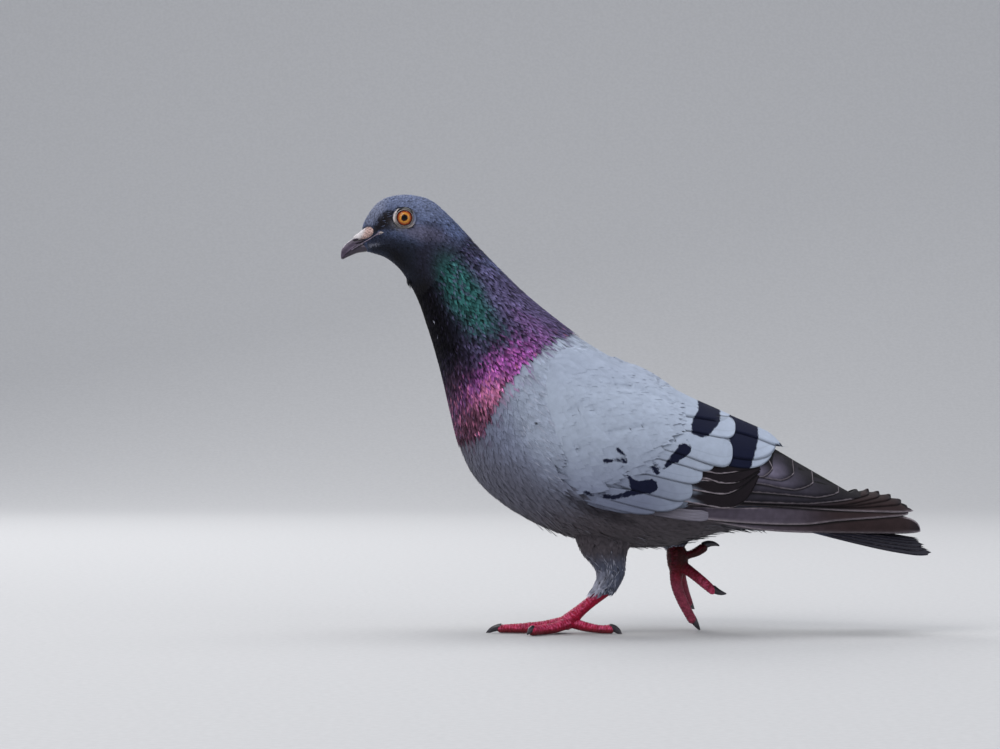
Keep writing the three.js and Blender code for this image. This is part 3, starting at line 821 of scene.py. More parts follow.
def feather_material(name, roughness, level, mottle=0.1, metal=0.0, marked=False, fringe=None, layered=None,
                     sheen=0.0, barb_scale=4.5):
    """Feather finish: the tint of each vane with uneven tone, barbs as fine bump and faint streaks. Where
    asked for it has blue black marks with a ragged edge, a fringe of a share and a width in millimetres, the
    shade under the feather above, so many millimetres deep and so dark, and the metal gloss of the neck."""
    mat, bsdf = new_material(name, roughness, level)
    rows = barbs(mat, barb_scale)
    uneven = patchy(mat, 330, 5, 1 - mottle, 1 + mottle, (0.25, 0.75))
    streaks = span(mat, rows, 0, 1, 1 - mottle * 0.6, 1 + mottle * 0.4)
    shade = maths(mat, "MULTIPLY", uneven, streaks)
    colour_now = tinted(mat)
    if marked:
        torn = maths(mat, "ADD", attribute(mat, "band"), span(mat, rows, 0, 1, -RAGGED * 0.7, RAGGED * 0.7))
        torn = maths(mat, "ADD", torn, patchy(mat, 500, 3, -RAGGED, RAGGED))
        colour_now = mixed(mat, span(mat, torn, -RAGGED * 0.5, RAGGED * 0.5), colour_now, tone("bar"))
    if layered:
        shade = maths(mat, "MULTIPLY", shade, span(mat, attribute(mat, "below"), 0.0, *layered, 1.0))
        quill = span(mat, maths(mat, "ABSOLUTE", attribute(mat, "x"), 0.0), 0.03, 0.08, QUILL_SHADE, 1.0)
        shade = maths(mat, "MULTIPLY", shade, quill)
    if fringe:
        share, width = fringe
        edge = maths(mat, "ADD", attribute(mat, "rim"), patchy(mat, 520, 3, -0.16, 0.16))
        rim = maths(mat, "MULTIPLY", span(mat, edge, width, width * 0.4), share)
        colour_now = mixed(mat, rim, colour_now, tone("fringe"))
    paint(mat, bsdf, colour_now, shade)
    if metal:
        link(mat, maths(mat, "MULTIPLY", attribute(mat, "gloss"), metal), bsdf.inputs["Metallic"])
    preset(bsdf, Sheen_Weight=sheen, Sheen_Roughness=0.5)
    bump(mat, bsdf, rows, BARB_DEPTH)
    return mat


# -------------------- legs
# Leg and toe runs: x, y, z, half thickness, from the body outwards.
SHANKS = {
    LEFT: [[-12, -9.6, 22.6, 3.1], [-18.6, -9.4, 17.6, 2.8], [-25.6, -9.2, 12, 2.8], [-33.4, -9, 5.2, 3.8]],
    RIGHT: [[18, 14.4, 50, 3.2], [18.8, 14, 42.5, 3.7], [20.2, 13.6, 37, 5.0], [20.8, 13.2, 31.8, 5.0]],
}
TOES = {
    (LEFT, 1): ([-32, -9, 5.4, 2.7], [-25, -9.4, 3.2, 2.3], [-18, -10.4, 2, 2], [-13, -11.2, 1.9, 2.3]),
    (LEFT, 2): ([-33.4, -8, 4.8, 2.7], [-39.6, -2.6, 2.9, 2.5], [-46, 2.2, 2.05, 2.3], [-50.6, 5.4, 1.75, 2]),
    (LEFT, 3): ([-34, -9, 5.2, 3.1], [-44, -7.8, 3.2, 2.7], [-54, -6.8, 2.2, 2.5], [-64.6, -5.8, 1.8, 2.1]),
    (LEFT, 4): (
        [-33.4, -10.4, 4.8, 2.8], [-39.6, -15, 2.9, 2.5], [-45.8, -19, 2.2, 2.4], [-49.6, -24, 2, 2.4],
    ),
    (RIGHT, 1): (
        [22.4, 13.4, 35.4, 2.2], [26.4, 14, 36.4, 1.9], [30, 14.8, 37.8, 2.2], [33, 15.2, 39.6, 2.3],
    ),
    (RIGHT, 2): ([22, 12.6, 31.4, 3], [27.4, 9.6, 27.8, 2.5], [32.6, 7, 23.6, 2.4], [37, 5.2, 19.8, 2.1]),
    (RIGHT, 3): (
        [20.2, 13.2, 31, 3.6], [20.1, 13.4, 22.4, 2.8], [22.8, 13.6, 14.4, 2.5], [27.6, 13.8, 5.2, 2.2],
    ),
    (RIGHT, 4): ([21.2, 14, 30.4, 2.8], [22.8, 19, 23.8, 2.5], [24.6, 23, 17.6, 2.3], [26.6, 25.6, 12.6, 2]),
}
# Claw length and downward turn in degrees.
CLAWS = {
    (LEFT, 1): [8.4, 84], (LEFT, 2): [6.8, 48], (LEFT, 3): [8.4, 44], (LEFT, 4): [5.4, 54],
    (RIGHT, 1): [8.4, 62], (RIGHT, 2): [7.6, -38], (RIGHT, 3): [7.4, -8], (RIGHT, 4): [6.4, -30],
}
CLAW_RADIUS = 1.8
HANGING_TOES = (RIGHT, 2), (RIGHT, 3), (RIGHT, 4)
SHANK_PLATE, TOE_PLATE = 1.75, 1.5  # length of one cross plate

# Thigh sections: front point (x, z), rear point (x, z), half width, round a middle line at THIGH_Y. The last
# row lies on the bare shank: feather tips reach towards it, but the thigh ends at the row before.
THIGH_Y = {LEFT: -10.5, RIGHT: 14.4}
THIGHS = {
    LEFT: [
        [-34, 58, 6, 56, 10], [-30, 46, -1, 44.6, 9.6], [-27, 38.4, -4, 38.6, 8.8],
        [-22.6, 33.6, -4.8, 33, 7.8], [-19.8, 29, -5.2, 28.4, 6.8], [-20.6, 24.4, -7.4, 23.6, 5.6],
        [-22.6, 20.4, -11, 18.6, 4], [-24.6, 17.6, -19, 11.6, 3.3],
    ],
    RIGHT: [
        [4, 56, 36, 58, 9], [8.6, 47, 29, 50, 8], [12.6, 41, 26, 42.6, 6], [14.8, 38.2, 23.6, 39, 4.2],
        [15.4, 34, 24.6, 34.6, 4.4],
    ],
}


def thigh_surface(side):
    """Ellipse between the front and rear points of thigh section t, at angle a from the rear."""
    rows = np.array(THIGHS[side], float)

    def surface(t, a, depth=0.0):
        *ends, half = np.moveaxis(flow(rows, t), -1, 0)
        x, z = between(ends, np.cos(a), depth)
        return np.stack([x, THIGH_Y[side] - (half - depth) * np.sin(a), z], -1)

    return surface


def tube(path, ring=14, steps=26):
    """A round tube along a run of (x, y, z, radius), with half-round ends: circles square to the run."""
    path = np.asarray(path, float)
    t = np.linspace(0, len(path) - 1, steps)
    at = flow(path, t)
    run = unit(np.gradient(at[:, :3], axis=0))

    def cap(end, degrees):
        turn = np.radians(degrees)
        middle, radius = at[end, :3], at[end, 3]
        return np.column_stack([middle + run[end] * radius * np.sin(turn)[:, None], radius * np.cos(turn)])

    at = np.concatenate([cap(0, [-90, -60, -30]), at, cap(-1, [30, 60, 90])])
    run = np.concatenate([run[[0] * 3], run, run[[-1] * 3]])
    side = unit(np.cross(run, np.where(np.abs(run[:, 2:]) > 0.8, [[0, 1, 0]], [[0, 0, 1]])))
    up = np.cross(side, run)
    a = turns(ring)
    circle = np.cos(a)[:, None] * side[:, None] + np.sin(a)[:, None] * up[:, None]
    return at[:, None, :3] + circle * at[:, 3][:, None, None], grid_faces(len(at), ring, wrap=True)


def remeshed(points, faces, voxel):
    """The outer skin of overlapping closed shapes as an even net of quads, voxel millimetres wide."""
    mesh = bpy.data.meshes.new("limbs")
    mesh.from_pydata(points.tolist(), [], faces.tolist())
    obj = bpy.data.objects.new("limbs", mesh)
    bpy.context.collection.objects.link(obj)
    weld(obj, 1e-4)
    modifier = obj.modifiers.new("one skin", "REMESH")
    modifier.mode = "VOXEL"
    modifier.voxel_size = voxel
    made = obj.evaluated_get(bpy.context.evaluated_depsgraph_get()).to_mesh()
    skin = read(made.vertices, "co", 3, np.float32).astype(float)
    quads = read(made.loops, "vertex_index", 1).reshape(-1, 4)
    edges = read(made.edges, "vertices", 2)
    bpy.data.objects.remove(obj)
    return skin, quads, edges


def relaxed(points, edges, rounds):
    """Each point moved half of the way to the mean of its neighbours, a few times over."""
    for _ in range(rounds):
        total = np.zeros_like(points)
        count = np.zeros(len(points))
        for a, b in ((0, 1), (1, 0)):
            np.add.at(total, edges[:, a], points[edges[:, b]])
            np.add.at(count, edges[:, a], 1)
        points = points + 0.5 * (total / count[:, None] - points)
    return points


def limb_lines():
    """Sixty places along the middle of each leg and toe: point, direction, the way that its plates face,
    distance from its start, thickness and length of a plate."""
    rows = []
    for key, path in (*SHANKS.items(), *TOES.items()):
        at = flow(path, np.linspace(0, 3, 60))
        line, run = at[:, :3], unit(np.gradient(at[:, :3], axis=0))
        shank = key in SHANKS
        # the front toes of the lifted foot hang, so their upper side looks forward
        lead = np.array([-1.0, 0, 0.2] if shank else [-0.8, 0, 0.5] if key in HANGING_TOES else [0, 0, 1.0])
        up = unit(lead - run * (run @ lead)[:, None])
        plate = np.full(60, SHANK_PLATE if shank else TOE_PLATE)
        rows.append(np.column_stack([line, run, up, arc_length(line), at[:, 3], plate]))
    return np.concatenate(rows)


def leg_skin():
    """Both feet as one scaled skin: remeshed tubes, raised in cross plates on the front of each run and in
    small grains behind, with the plate edges pinker than the plates."""
    tubes = [tube(path) for path in (*SHANKS.values(), *TOES.values())]
    points, faces, _ = joined([(p, f, {}) for p, f in tubes])
    points[:, 2] = np.maximum(points[:, 2], 0.0)
    points, quads, edges = remeshed(points, faces, 0.34)
    points = relaxed(points, edges, 4)
    limbs = limb_lines()
    line, run, up = limbs[:, :3], limbs[:, 3:6], limbs[:, 6:9]
    length, radius, period = limbs[:, 9:].T
    nearest = np.concatenate([
        np.argmin(np.linalg.norm(chunk[:, None] - line[None], axis=-1) - 0.8 * radius, axis=1)
        for chunk in np.array_split(points, 40)
    ])
    off = points - line[nearest]
    slide = (off * run[nearest]).sum(-1)
    off -= run[nearest] * slide[:, None]
    out = off / np.maximum(np.linalg.norm(off, axis=1, keepdims=True), 1e-6)
    facing = (out * up[nearest]).sum(-1)
    place = (length[nearest] + slide) / period[nearest]
    place = place + 0.16 * np.sin(4 * facing + 2.1 * place) + 0.1 * np.sin(points[:, 1] * 2.6 + points[:, 0])
    saw = place - np.floor(place)
    groove = np.exp(-((np.minimum(saw, 1 - saw) / 0.11) ** 2))
    plated = smooth(-0.25, 0.25, facing)
    turn = np.arccos(np.clip(facing, -1, 1))
    grains = np.cos(TAU * place * 2) * np.cos(turn * 7)
    rise = plated * (0.10 + 0.14 * saw - 0.26 * groove) + (1 - plated) * 0.09 * grains
    pad = smooth(0.9, 0.1, points[:, 2])
    points = points + out * (rise * (1 - pad))[:, None]
    points[:, 2] = np.maximum(points[:, 2], 0.0)
    tint = blend(plain_tint(len(points), "leg"), "leg_edge", np.clip(plated * groove * 0.9, 0, 1))
    tint = blend(tint, tone("leg") * 0.45, (1 - plated) * smooth(0.2, -0.6, grains) * 0.7)
    tint = blend(tint, "toe_pad", smooth(3.2, 0.8, points[:, 2]) * 0.75)
    # the far foot lies in shade: olive below, a deeper red up its leg
    far = smooth(0, 8, points[:, 1]) * smooth(0, 12, points[:, 0] + 6)
    high = smooth(20, 34, points[:, 2])
    tint = blend(tint, blend(tone("toe_pad"), "leg_edge", 0.25) * 1.5, 0.8 * far * (1 - high))
    shade = 0.72 - 0.6 * high
    tint = tint * (1 - far * (1 - shade))[:, None] * (1 - (far * high)[:, None] * np.array([0, 1, 0.9]))
    return points, quads, tint, plated * (1 - 0.75 * far)


# -------------------- skin
def coat_depth(t):
    """How far the skin lies under the feather tips at section t, in millimetres."""
    feathering = bpy.context.scene.pigeon_feathering
    head, trunk = feathering.coat_head / MM, feathering.coat_trunk / MM
    return head + (trunk - head) * smooth(4.5, 9.0, np.asarray(t, float))


def closed_tube(surface, t, cols, depth):
    """Rings of a surface(t, angle, depth) at each t, drawn in to a point at both ends."""
    tt, aa = np.meshgrid(t, turns(cols), indexing="ij")
    points = capped(surface(tt, aa, depth(tt) if callable(depth) else depth))
    tt = np.concatenate([tt[:1], tt, tt[-1:]])
    aa = np.concatenate([aa[:1], aa, aa[-1:]])
    return points, grid_faces(len(t) + 2, cols, wrap=True), tt, aa


def wing_flesh(side):
    """The fleshy part of a folded wing: a flat closed shell under the coverts, thinning to its edge."""
    surface = wing_surface(side)
    rows, cols, front, rear = 90, 50, -50, 24
    x, share = np.meshgrid(np.linspace(front, rear, rows), np.linspace(0, 1, cols), indexing="ij")
    first, last = np.radians(wing_sizes(x)[5:])
    a = first + (last - first) * share
    rim = np.sin(np.pi * share) ** 0.4 * np.sin(np.pi * (x - front) / (rear - front)) ** 0.3
    sunk = 3.2 + 2.4 * smooth(-16, 20, x)
    points = np.concatenate([surface(x, a, sunk + swell * rim).reshape(-1, 3) for swell in (-1.2, 1.2)])
    quads = grid_faces(rows, cols)
    faces = np.concatenate([quads, quads[:, ::-1] + rows * cols])
    tint = wing_tone(points[:, 0], points[:, 2])
    dark = smooth(-0.2, 0.3, stroke_field(FRONT_BAR + REAR_BAR, *seen(points)))
    return points, faces, blend(tint, "bar", dark)


def flesh_nodes():
    """The solids that the one skin stands for."""
    nodes = ["head", "neck", "trunk"]
    for side in NAME.values():
        nodes += [f"thigh_{side}", f"shank_{side}", f"wing_{side}_coverts"]
        nodes += [f"toe_{side}_{k}" for k in (1, 2, 3, 4)]
    return nodes


def skin_part(points, faces, tint, gloss=0.0, leg=0.0):
    """One closed shape of the skin, with its colour, gloss and share of leg at every point."""
    spread = lambda value: np.ravel(value) + np.zeros(points.size // 3)
    return points, faces, {"tint": tint, "gloss": spread(gloss), "leg": spread(leg)}


class PIGEON_OT_skin(bpy.types.Operator):
    """Make the one skin under the coat, with its scaled feet"""

    bl_idname = "pigeon.skin"
    bl_label = "Skin"

    def execute(self, context):
        points, faces, t, a = closed_tube(body_surface, np.linspace(0, BODY_LAST, 190), 110, coat_depth)
        tint, gloss = body_tone(t, a)
        parts = [skin_part(points, faces, tint * (0.6 + 0.3 * smooth(10.4, 11.4, t))[..., None], gloss)]
        for side in NAME:
            sections = np.linspace(0, len(THIGHS[side]) - 2, 50)
            points, faces, _, _ = closed_tube(thigh_surface(side), sections, 40, 1.6)
            parts.append(skin_part(points, faces, plain_tint(points.size // 3, "belly")))
            parts.append(skin_part(*wing_flesh(side)))
        points, faces, tint, plated = leg_skin()
        parts.append(skin_part(points, faces, tint, leg=0.5 + 0.5 * plated))
        points, faces, columns = joined(parts)
        obj = weld(make_mesh("skin", points, faces, **columns))
        finish(obj, skin_material(), "plumage_slate", *flesh_nodes())
        return {"FINISHED"}


def skin_material():
    """Dull down under the coat, and waxy scaled skin on the legs, by the leg attribute."""
    mat, bsdf = new_material("skin", 0.7, 0.22)
    leg = attribute(mat, "leg")
    uneven = patchy(mat, 420, 6, 0.78, 1.2)
    cells = node(mat, "TexVoronoi", feature="DISTANCE_TO_EDGE")
    preset(cells, Scale=900)
    link(mat, node(mat, "TexCoord").outputs["Object"], cells.inputs["Vector"])
    cell = span(mat, cells.outputs["Distance"], 0.02, 0.16)
    # pink patches on the leading face, by how far it is plated
    pink = maths(mat, "MULTIPLY", span(mat, leg, 0.5, 1.0), patchy(mat, 620, 3, ends=(0.42, 0.6)))
    scales = mixed(mat, maths(mat, "MULTIPLY", pink, 0.45), tinted(mat), tone("leg_edge"))
    dark = maths(mat, "MULTIPLY", span(mat, cell, 0, 1, 0.3, 0.0), span(mat, leg, 0.1, 0.5))
    paint(mat, bsdf, scales, maths(mat, "SUBTRACT", uneven, dark))
    link(mat, span(mat, leg, 0, 0.5, 0.8, 0.42), bsdf.inputs["Roughness"])
    grain = bump(mat, bsdf, noise(mat, 1300, 4), 0.00006)
    bump(mat, bsdf, maths(mat, "MULTIPLY", cell, span(mat, leg, 0.1, 0.5)), 0.0001, under=grain)
    return mat


# -------------------- body coat
PATCH = 0.003  # width of one feather's place on the bake map


def even_roots(surface, start, end, gap_along, gap_across, rng, around=(0.0, TAU), loose=0.22):
    """Feather roots in staggered rows: gap_along apart by the arc length of the line down the side, and
    gap_across apart round each row, each moved by the share loose of a gap at random. Gaps are in
    millimetres."""
    fine = np.linspace(start, end, 400)
    arc = arc_length(surface(fine, np.full(len(fine), math.pi / 2)))
    ts = np.interp(np.arange(0, arc[-1], gap_along), arc, fine)
    angles = np.linspace(*around, 241)
    us, vs = [], []
    for k, t in enumerate(ts):
        length = arc_length(surface(np.full(len(angles), t), angles))
        count = max(6, int(length[-1] / gap_across))
        at = (np.arange(count) + (k % 2) / 2) / count * length[-1] + rng.normal(0, loose, count) * gap_across
        vs.append(np.interp(at % length[-1], length, angles))
        us.append(t + rng.normal(0, loose, count) * (ts[1] - ts[0]))
    return np.clip(np.concatenate(us), start, end), np.concatenate(vs)


def coat(name, surface, u, v, material, slot, rng, length, width, lift, *, sink, lie, shade, jitter, soft,
         tones, home, rows=4, cols=3, tip=0.45, camber=0.1, thick=0.12, band=None):
    """One joined piece of small feathers, sunk under the surface. Each is painted with its tint and gloss,
    going from the first shade at its root to the second at its tip, and lighter or darker by jitter. All are
    shaded as one soft surface by the share soft, and each has a small patch of the bake map at home."""
    sink = np.broadcast_to(sink, u.shape)
    deep = lambda p, q: surface(p, q, sink.reshape((-1,) + (1,) * (p.ndim - 1)))
    pattern = vane_pattern(rows, cols)
    points, faces, c = lay_feathers(deep, u, v, lie, length, width, lift, pattern, tip, camber, thick)
    tint, gloss = tones
    vary = np.exp(rng.normal(0, 1, len(u)) * jitter)[:, None, None]
    at_root, at_tip = np.broadcast_to(shade[0], u.shape)[:, None], shade[1]
    along = at_root + (at_tip - at_root) * smooth(0.2, 0.85, c["s"])
    uv = vane_map(c["along"], c["across"])
    bake = (home * (1 - PATCH))[:, None] + np.stack([c["x"] * 0.5 + 0.5, c["s"]], -1) * PATCH
    floats = {"gloss": gloss[:, None] * np.ones_like(c["s"]), "x": c["x"]}
    if band is not None:
        floats["band"] = band(points)
    obj = make_mesh(name, points, faces, uv=uv, bake=bake, tint=tint[:, None] * vary * along[..., None],
                    lay=(c["lean"], soft), **floats)
    return finish(obj, material, slot)


def unwrapped(u, v, last=BODY_LAST):
    """Place on the bake map by an unwrap of the body or a thigh: section number across, angle up."""
    return np.stack([u / last, (v % TAU) / TAU], -1)


def under_wing(points):
    """True where a body point lies behind a folded wing, by a few millimetres from its edges."""
    x, y, z = np.moveaxis(points, -1, 0)
    _, top, _, low, *_ = wing_sizes(x)
    return (x > -41) & (x < 60) & (z > low + 2.5) & (z < top - 8) & (np.abs(y) > 12)


def plume_size(u):
    """Length and width of head and neck feathers at section u: tiny at the bill, long and narrow below."""
    length = 1.9 + 0.9 * smooth(0.5, 3.0, u) + 2.2 * smooth(4.0, 8.0, u) + 1.2 * smooth(8.5, 11.5, u)
    return length, 1.25 + 0.25 * smooth(0.5, 3.0, u) + 0.35 * smooth(7.0, 11.0, u)


# The bare bean of the cere in the side view: middle, half length, half height, tilt in radians.
CERE_X, CERE_Z, CERE_HALF, CERE_HIGH, CERE_PITCH = -129.8, 191.0, 6.4, 3.15, 0.38


def off_cere(points, margin=0.0):
    """How far outside the bean of the cere a point lies in the side view, as a ratio: 1 on its outline."""
    along, across = tilted(points[..., 0] - CERE_X, points[..., 2] - CERE_Z, CERE_PITCH)
    return np.hypot(along / (CERE_HALF + margin), across / (CERE_HIGH + margin))


class PIGEON_OT_head_coat(bpy.types.Operator):
    """Lay the small feathers of the head"""

    bl_idname = "pigeon.head_coat"
    bl_label = "Head feathers"

    def execute(self, context):
        rng = draws(0)
        u, v = even_roots(body_surface, 0.04, 6.6, 0.85, 0.9, rng)
        length, width = plume_size(u)
        root = body_surface(u, v)
        tip = root + unit(body_surface(u + 0.05, v) - root) * (length * 0.8)[:, None]
        # no feather lies over the eyes or the cere, at its root, middle or tip
        keep = np.ones(len(u), bool)
        for place in (root, (root + tip) / 2, tip):
            eye = np.hypot(place[:, 0] - EYE_X, place[:, 2] - EYE_Z) > 5.3
            keep &= eye | (np.abs(place[:, 1]) < 6)
            keep &= off_cere(place, 0.2) > 1
        u, v, length, width = u[keep], v[keep], length[keep], width[keep]
        x, y, z = root[keep].T
        material = feather_material("head_plumage", 0.58, 0.13, mottle=0.11, metal=0.3, barb_scale=7)
        neck = smooth(3.8, 6.6, u)
        # the throat ends in a small ruffled tuft
        ruff = (np.hypot(x + 108.8, z - 169.6) < 1.9) & (np.abs(y) < 4.5) & (rng.random(len(u)) < 0.5)
        # between bill and eye fine paler hairs lie over the dark
        tones = body_tone(u, v)
        lore = (np.hypot(x + 120.8, z - 196.0) < 6.5) & (rng.random(len(u)) < 0.22)
        tones[0][lore] = blend(tones[0][lore], "crown", 0.45)
        width = np.where(lore, 0.5, width)
        lift = np.where(ruff, 1.5, 0.34)
        width = np.where(ruff, 0.7, width)
        coat("coat_head", body_surface, u, v, material, "plumage_slate", rng, length, width, lift, sink=0.55,
             lie=rng.normal(0, 0.16, len(u)), shade=(0.55 - 0.45 * neck, 1.16), jitter=0.1 + 0.16 * neck,
             soft=0.45, tones=tones, home=unwrapped(u, v))
        return {"FINISHED"}


class PIGEON_OT_neck_coat(bpy.types.Operator):
    """Lay the glossy feathers of the neck"""

    bl_idname = "pigeon.neck_coat"
    bl_label = "Neck feathers"

    def execute(self, context):
        rng = draws(1)
        material = feather_material("neck_plumage", 0.5, 0.05, mottle=0.16, metal=0.32, barb_scale=7)
        for name, start, end in (("upper", 6.2, 9.0), ("lower", 9.0, 12.4)):
            u, v = even_roots(body_surface, start, end, 1.3, 1.05, rng)
            keep = u < neck_edge(v) + rng.normal(-0.24, 0.08, len(u))
            u, v = u[keep], v[keep]
            length, width = plume_size(u)
            tint, gloss = body_tone(u + rng.normal(0, 0.12, len(u)), v)
            # some feathers catch a neighbouring colour of the sheen, and a few lie in shade
            odd = rng.random(len(u))
            tint = blend(tint, "violet", 0.5 * (odd < 0.14) * gloss)
            pink = smooth(9.8, 10.5, u) * (odd > 0.88)
            tint = blend(tint, "rose", 0.7 * pink * gloss)
            tint = blend(tint, "throat", 0.7 * ((odd > 0.3) & (odd < 0.5)))
            white = (1 - np.cos(v) > 1.7) & (u < 9.6) & (odd > 0.998)
            tint[white] = tone("wisp")
            # each feather goes from a near black root, its own dark base with painted shade between feathers,
            # to a tip made 1.35 times lighter as a painted highlight
            coat(f"coat_neck_{name}", body_surface, u, v, material, "plumage_neck", rng, length, width, 0.55,
                 sink=0.85, lie=rng.normal(0, 0.13, len(u)), shade=(0.08 + 0.25 * smooth(9.6, 11.0, u), 1.35),
                 jitter=0.3, soft=0.35, tip=0.7, tones=(tint, gloss), home=unwrapped(u, v))
        return {"FINISHED"}


class PIGEON_OT_trunk_coat(bpy.types.Operator):
    """Lay the soft feathers of the breast, belly, back and rump"""

    bl_idname = "pigeon.trunk_coat"
    bl_label = "Trunk feathers"

    def execute(self, context):
        rng = draws(2)
        material = feather_material("trunk_plumage", 0.8, 0.15, mottle=0.1, sheen=0.08)
        u, v = even_roots(body_surface, 10.0, 20.7, 1.9, 1.6, rng, loose=0.35)
        keep = (u > neck_edge(v) - 0.2 + rng.normal(0, 0.12, len(u))) & ~under_wing(body_surface(u, v))
        u, v = u[keep], v[keep]
        front = (1 - np.cos(v)) / 2
        section = u + rng.normal(0, 0.1, len(u))
        tint, _ = body_tone(np.maximum(section, neck_edge(v) + rng.normal(0.12, 0.1, len(u))), v)
        # loose pale barbs hang from the rear of the belly and over the tops of the thighs
        over_thighs = smooth(13.8, 14.8, u) * smooth(0.86, 0.96, front)
        loose = rng.random(len(u)) < 0.1 * over_thighs + 0.1 * smooth(17.2, 18.5, u) * (front > 0.6)
        tint[loose] = blend(tint[loose], "wisp", 0.05 + 0.2 * rng.random(loose.sum()))
        lift = np.where(loose, 0.9 + 1.4 * rng.random(len(u)), 0.5 + 0.3 * rng.random(len(u)))
        width = np.where(loose, 0.9, 2.9)
        x, _, z = body_surface(u, v).T
        beside = smooth(-66, -52, x) * smooth(68, 84, z)
        fluff = (beside > 0.5) & (x < -36) & (rng.random(len(u)) < 0.16)
        tint[fluff] = blend(tint[fluff], "wisp", 0.3)
        width[fluff] = 0.95
        lift = np.where(fluff, 0.62, lift * (1 - 0.5 * beside))
        length = 8.6 + 4.4 * smooth(19.2, 20.4, u) * (front < 0.6)
        below = front > 0.3
        for name, part in (("breast", (u < 14.2) & below), ("belly", (u >= 14.2) & below), ("back", ~below)):
            pu, pv, count = u[part], v[part], part.sum()
            lie = rng.normal(0, 0.17, count) + 0.3 * loose[part] * rng.normal(0, 1, count)
            coat(f"coat_{name}", body_surface, pu, pv, material, "plumage_slate", rng, length[part],
                 width[part], lift[part], sink=1.2, lie=lie, tip=0.85, shade=(0.88, 1.04), jitter=0.06,
                 soft=0.84, camber=0.04, tones=(tint[part], np.zeros(count)), home=unwrapped(pu, pv))
        return {"FINISHED"}


class PIGEON_OT_thigh_coat(bpy.types.Operator):
    """Lay the short feathers of the thighs, with pale wisps at their lower ends"""

    bl_idname = "pigeon.thigh_coat"
    bl_label = "Thigh feathers"

    def execute(self, context):
        rng = draws(3)
        material = feather_material("thigh_plumage", 0.8, 0.15, mottle=0.1, sheen=0.1)
        for side, name in NAME.items():
            surface = thigh_surface(side)
            last = len(THIGHS[side]) - 2
            u, v = even_roots(surface, 0.0, last + 0.05, 1.3, 1.4, rng, loose=0.35)
            keep = u < last - 0.35 * (1 + np.cos(v)) / 2
            u, v = u[keep], v[keep]
            low = smooth(last * 0.4, last, u)
            ahead = (1 - np.cos(v)) / 2
            tint = blend(plain_tint(len(u), "breast") * 0.48, "belly", smooth(0.5, 0.2, u / last))
            lit = smooth(last * 0.45, last * 0.9, u) * smooth(0.42, 0.8, ahead)
            tint = blend(tint, tone("wisp") * 1.15, 0.95 * lit)
            chance = (0.4 + 0.3 * low * smooth(0.2, 0.7, ahead)) * smooth(0.15, 0.4, u / last)
            pale = rng.random(len(u)) < chance * smooth(-0.05, 0.25, ahead)
            share = 0.35 + (0.3 + 0.35 * low[pale]) * rng.random(pale.sum())
            tint[pale] = blend(tint[pale], "wisp", share)
            end = smooth(last - 1.8, last - 0.2, u)
            length = np.where(pale, 9.0, 4.6)
            length = length + (2.5 + 1.2 * ahead + rng.normal(0, 0.5, len(u)) - length) * end
            width = np.where(pale, 0.65, 2.2)
            lift = np.where(pale, 0.7, 0.5) + 0.7 * end * rng.random(len(u))
            coat(f"coat_thigh_{name}", surface, u, v, material, "plumage_slate", rng, length, width, lift,
                 sink=1.0, lie=rng.normal(0, 0.25 + 0.25 * pale, len(u)), tip=0.8, shade=(0.75, 1.06),
                 jitter=0.1, soft=0.6, tones=(tint, np.zeros(len(u))), home=unwrapped(u, v, last))
        return {"FINISHED"}


# -------------------- wings
# Where the small coverts end, as x at each height of the side view: the front edge of the first dark bar.
COVERT_END_Z = [50, 57, 64.8, 66.3, 72, 73, 75.8, 80.2, 86.4, 91, 94, 97.4, 101.3, 105, 108.5, 112, 126]
COVERT_END_X = [-34, -30, -17, -7.5, -5, 1, 7, 11, 17, 22.6, 26.4, 26.6, 28, 29.8, 29.8, 27, 12]


SMALL_COVERT = 11.0  # length of one


def past_coverts(x, z):
    """How far a place in the side view lies behind the end of the small coverts."""
    return x - np.interp(z, COVERT_END_Z, COVERT_END_X)


def small_coverts(side, rng):
    """Roots of the soft small coverts of a wing: even rows, between its edges and before the first bar."""
    surface = wing_surface(side)
    x, a = even_roots(surface, -53.5, 26, 3.2, 3.0, rng, around=(0.1, 2.25), loose=0.3)
    first, last = np.radians(wing_sizes(x)[5:])
    before = past_coverts(*seen(surface(x + SMALL_COVERT, a))) < rng.normal(0, 0.5, len(x))
    keep = (a > first - 0.02) & (a < last - 0.03) & before
    return x[keep], a[keep]


# Creases between groups of small coverts in the side view, as strokes like the dark marks.
CREASES = (
    (-9.7, 119.0, -2.8, 117.6, 0.3, 0.3),
    (0.8, 118.1, 17.4, 110.7, 0.1, 0.0),
    (-45.5, 124.8, -41.9, 127.7, 0.2, 0.2),
    (-30.5, 105.7, -24.0, 110.7, 0.9, 0.6),
    (-24.0, 109.4, -19.4, 105.7, 0.3, 0.2),
    (-6.5, 131.4, -2.8, 130.0, 0.2, 0.2),
    (-29.5, 89.2, -27.6, 86.4, 0.1, 0.1),
    (-6.5, 78.1, -1.9, 73.5, 0.1, 0.1),
    (-12.0, 96.0, 4.0, 99.0, 0.2, 0.0),
)


def waved(surface):
    """The wing's surface in low soft waves and creases, as its small coverts lie."""

    def surface_waved(x, a, depth=0.0):
        wave = np.sin(x / 6.1 + a * 5) * np.sin(a * 9 - x / 9.7) + 0.6 * np.sin(x / 3.3 - a * 11)
        crease = np.exp(-((np.minimum(stroke_field(CREASES, *seen(surface(x, a))), 0) / 1.1) ** 2))
        return surface(x, a, depth - 0.3 * wave + 0.65 * crease)

    return surface_waved


def wing_home(x, a):
    """Place on the bake map by an unwrap of the wing: x across, angle up."""
    return np.stack([np.clip((x + 60) / 210, 0, 1), np.clip(a / math.pi, 0, 1)], -1)


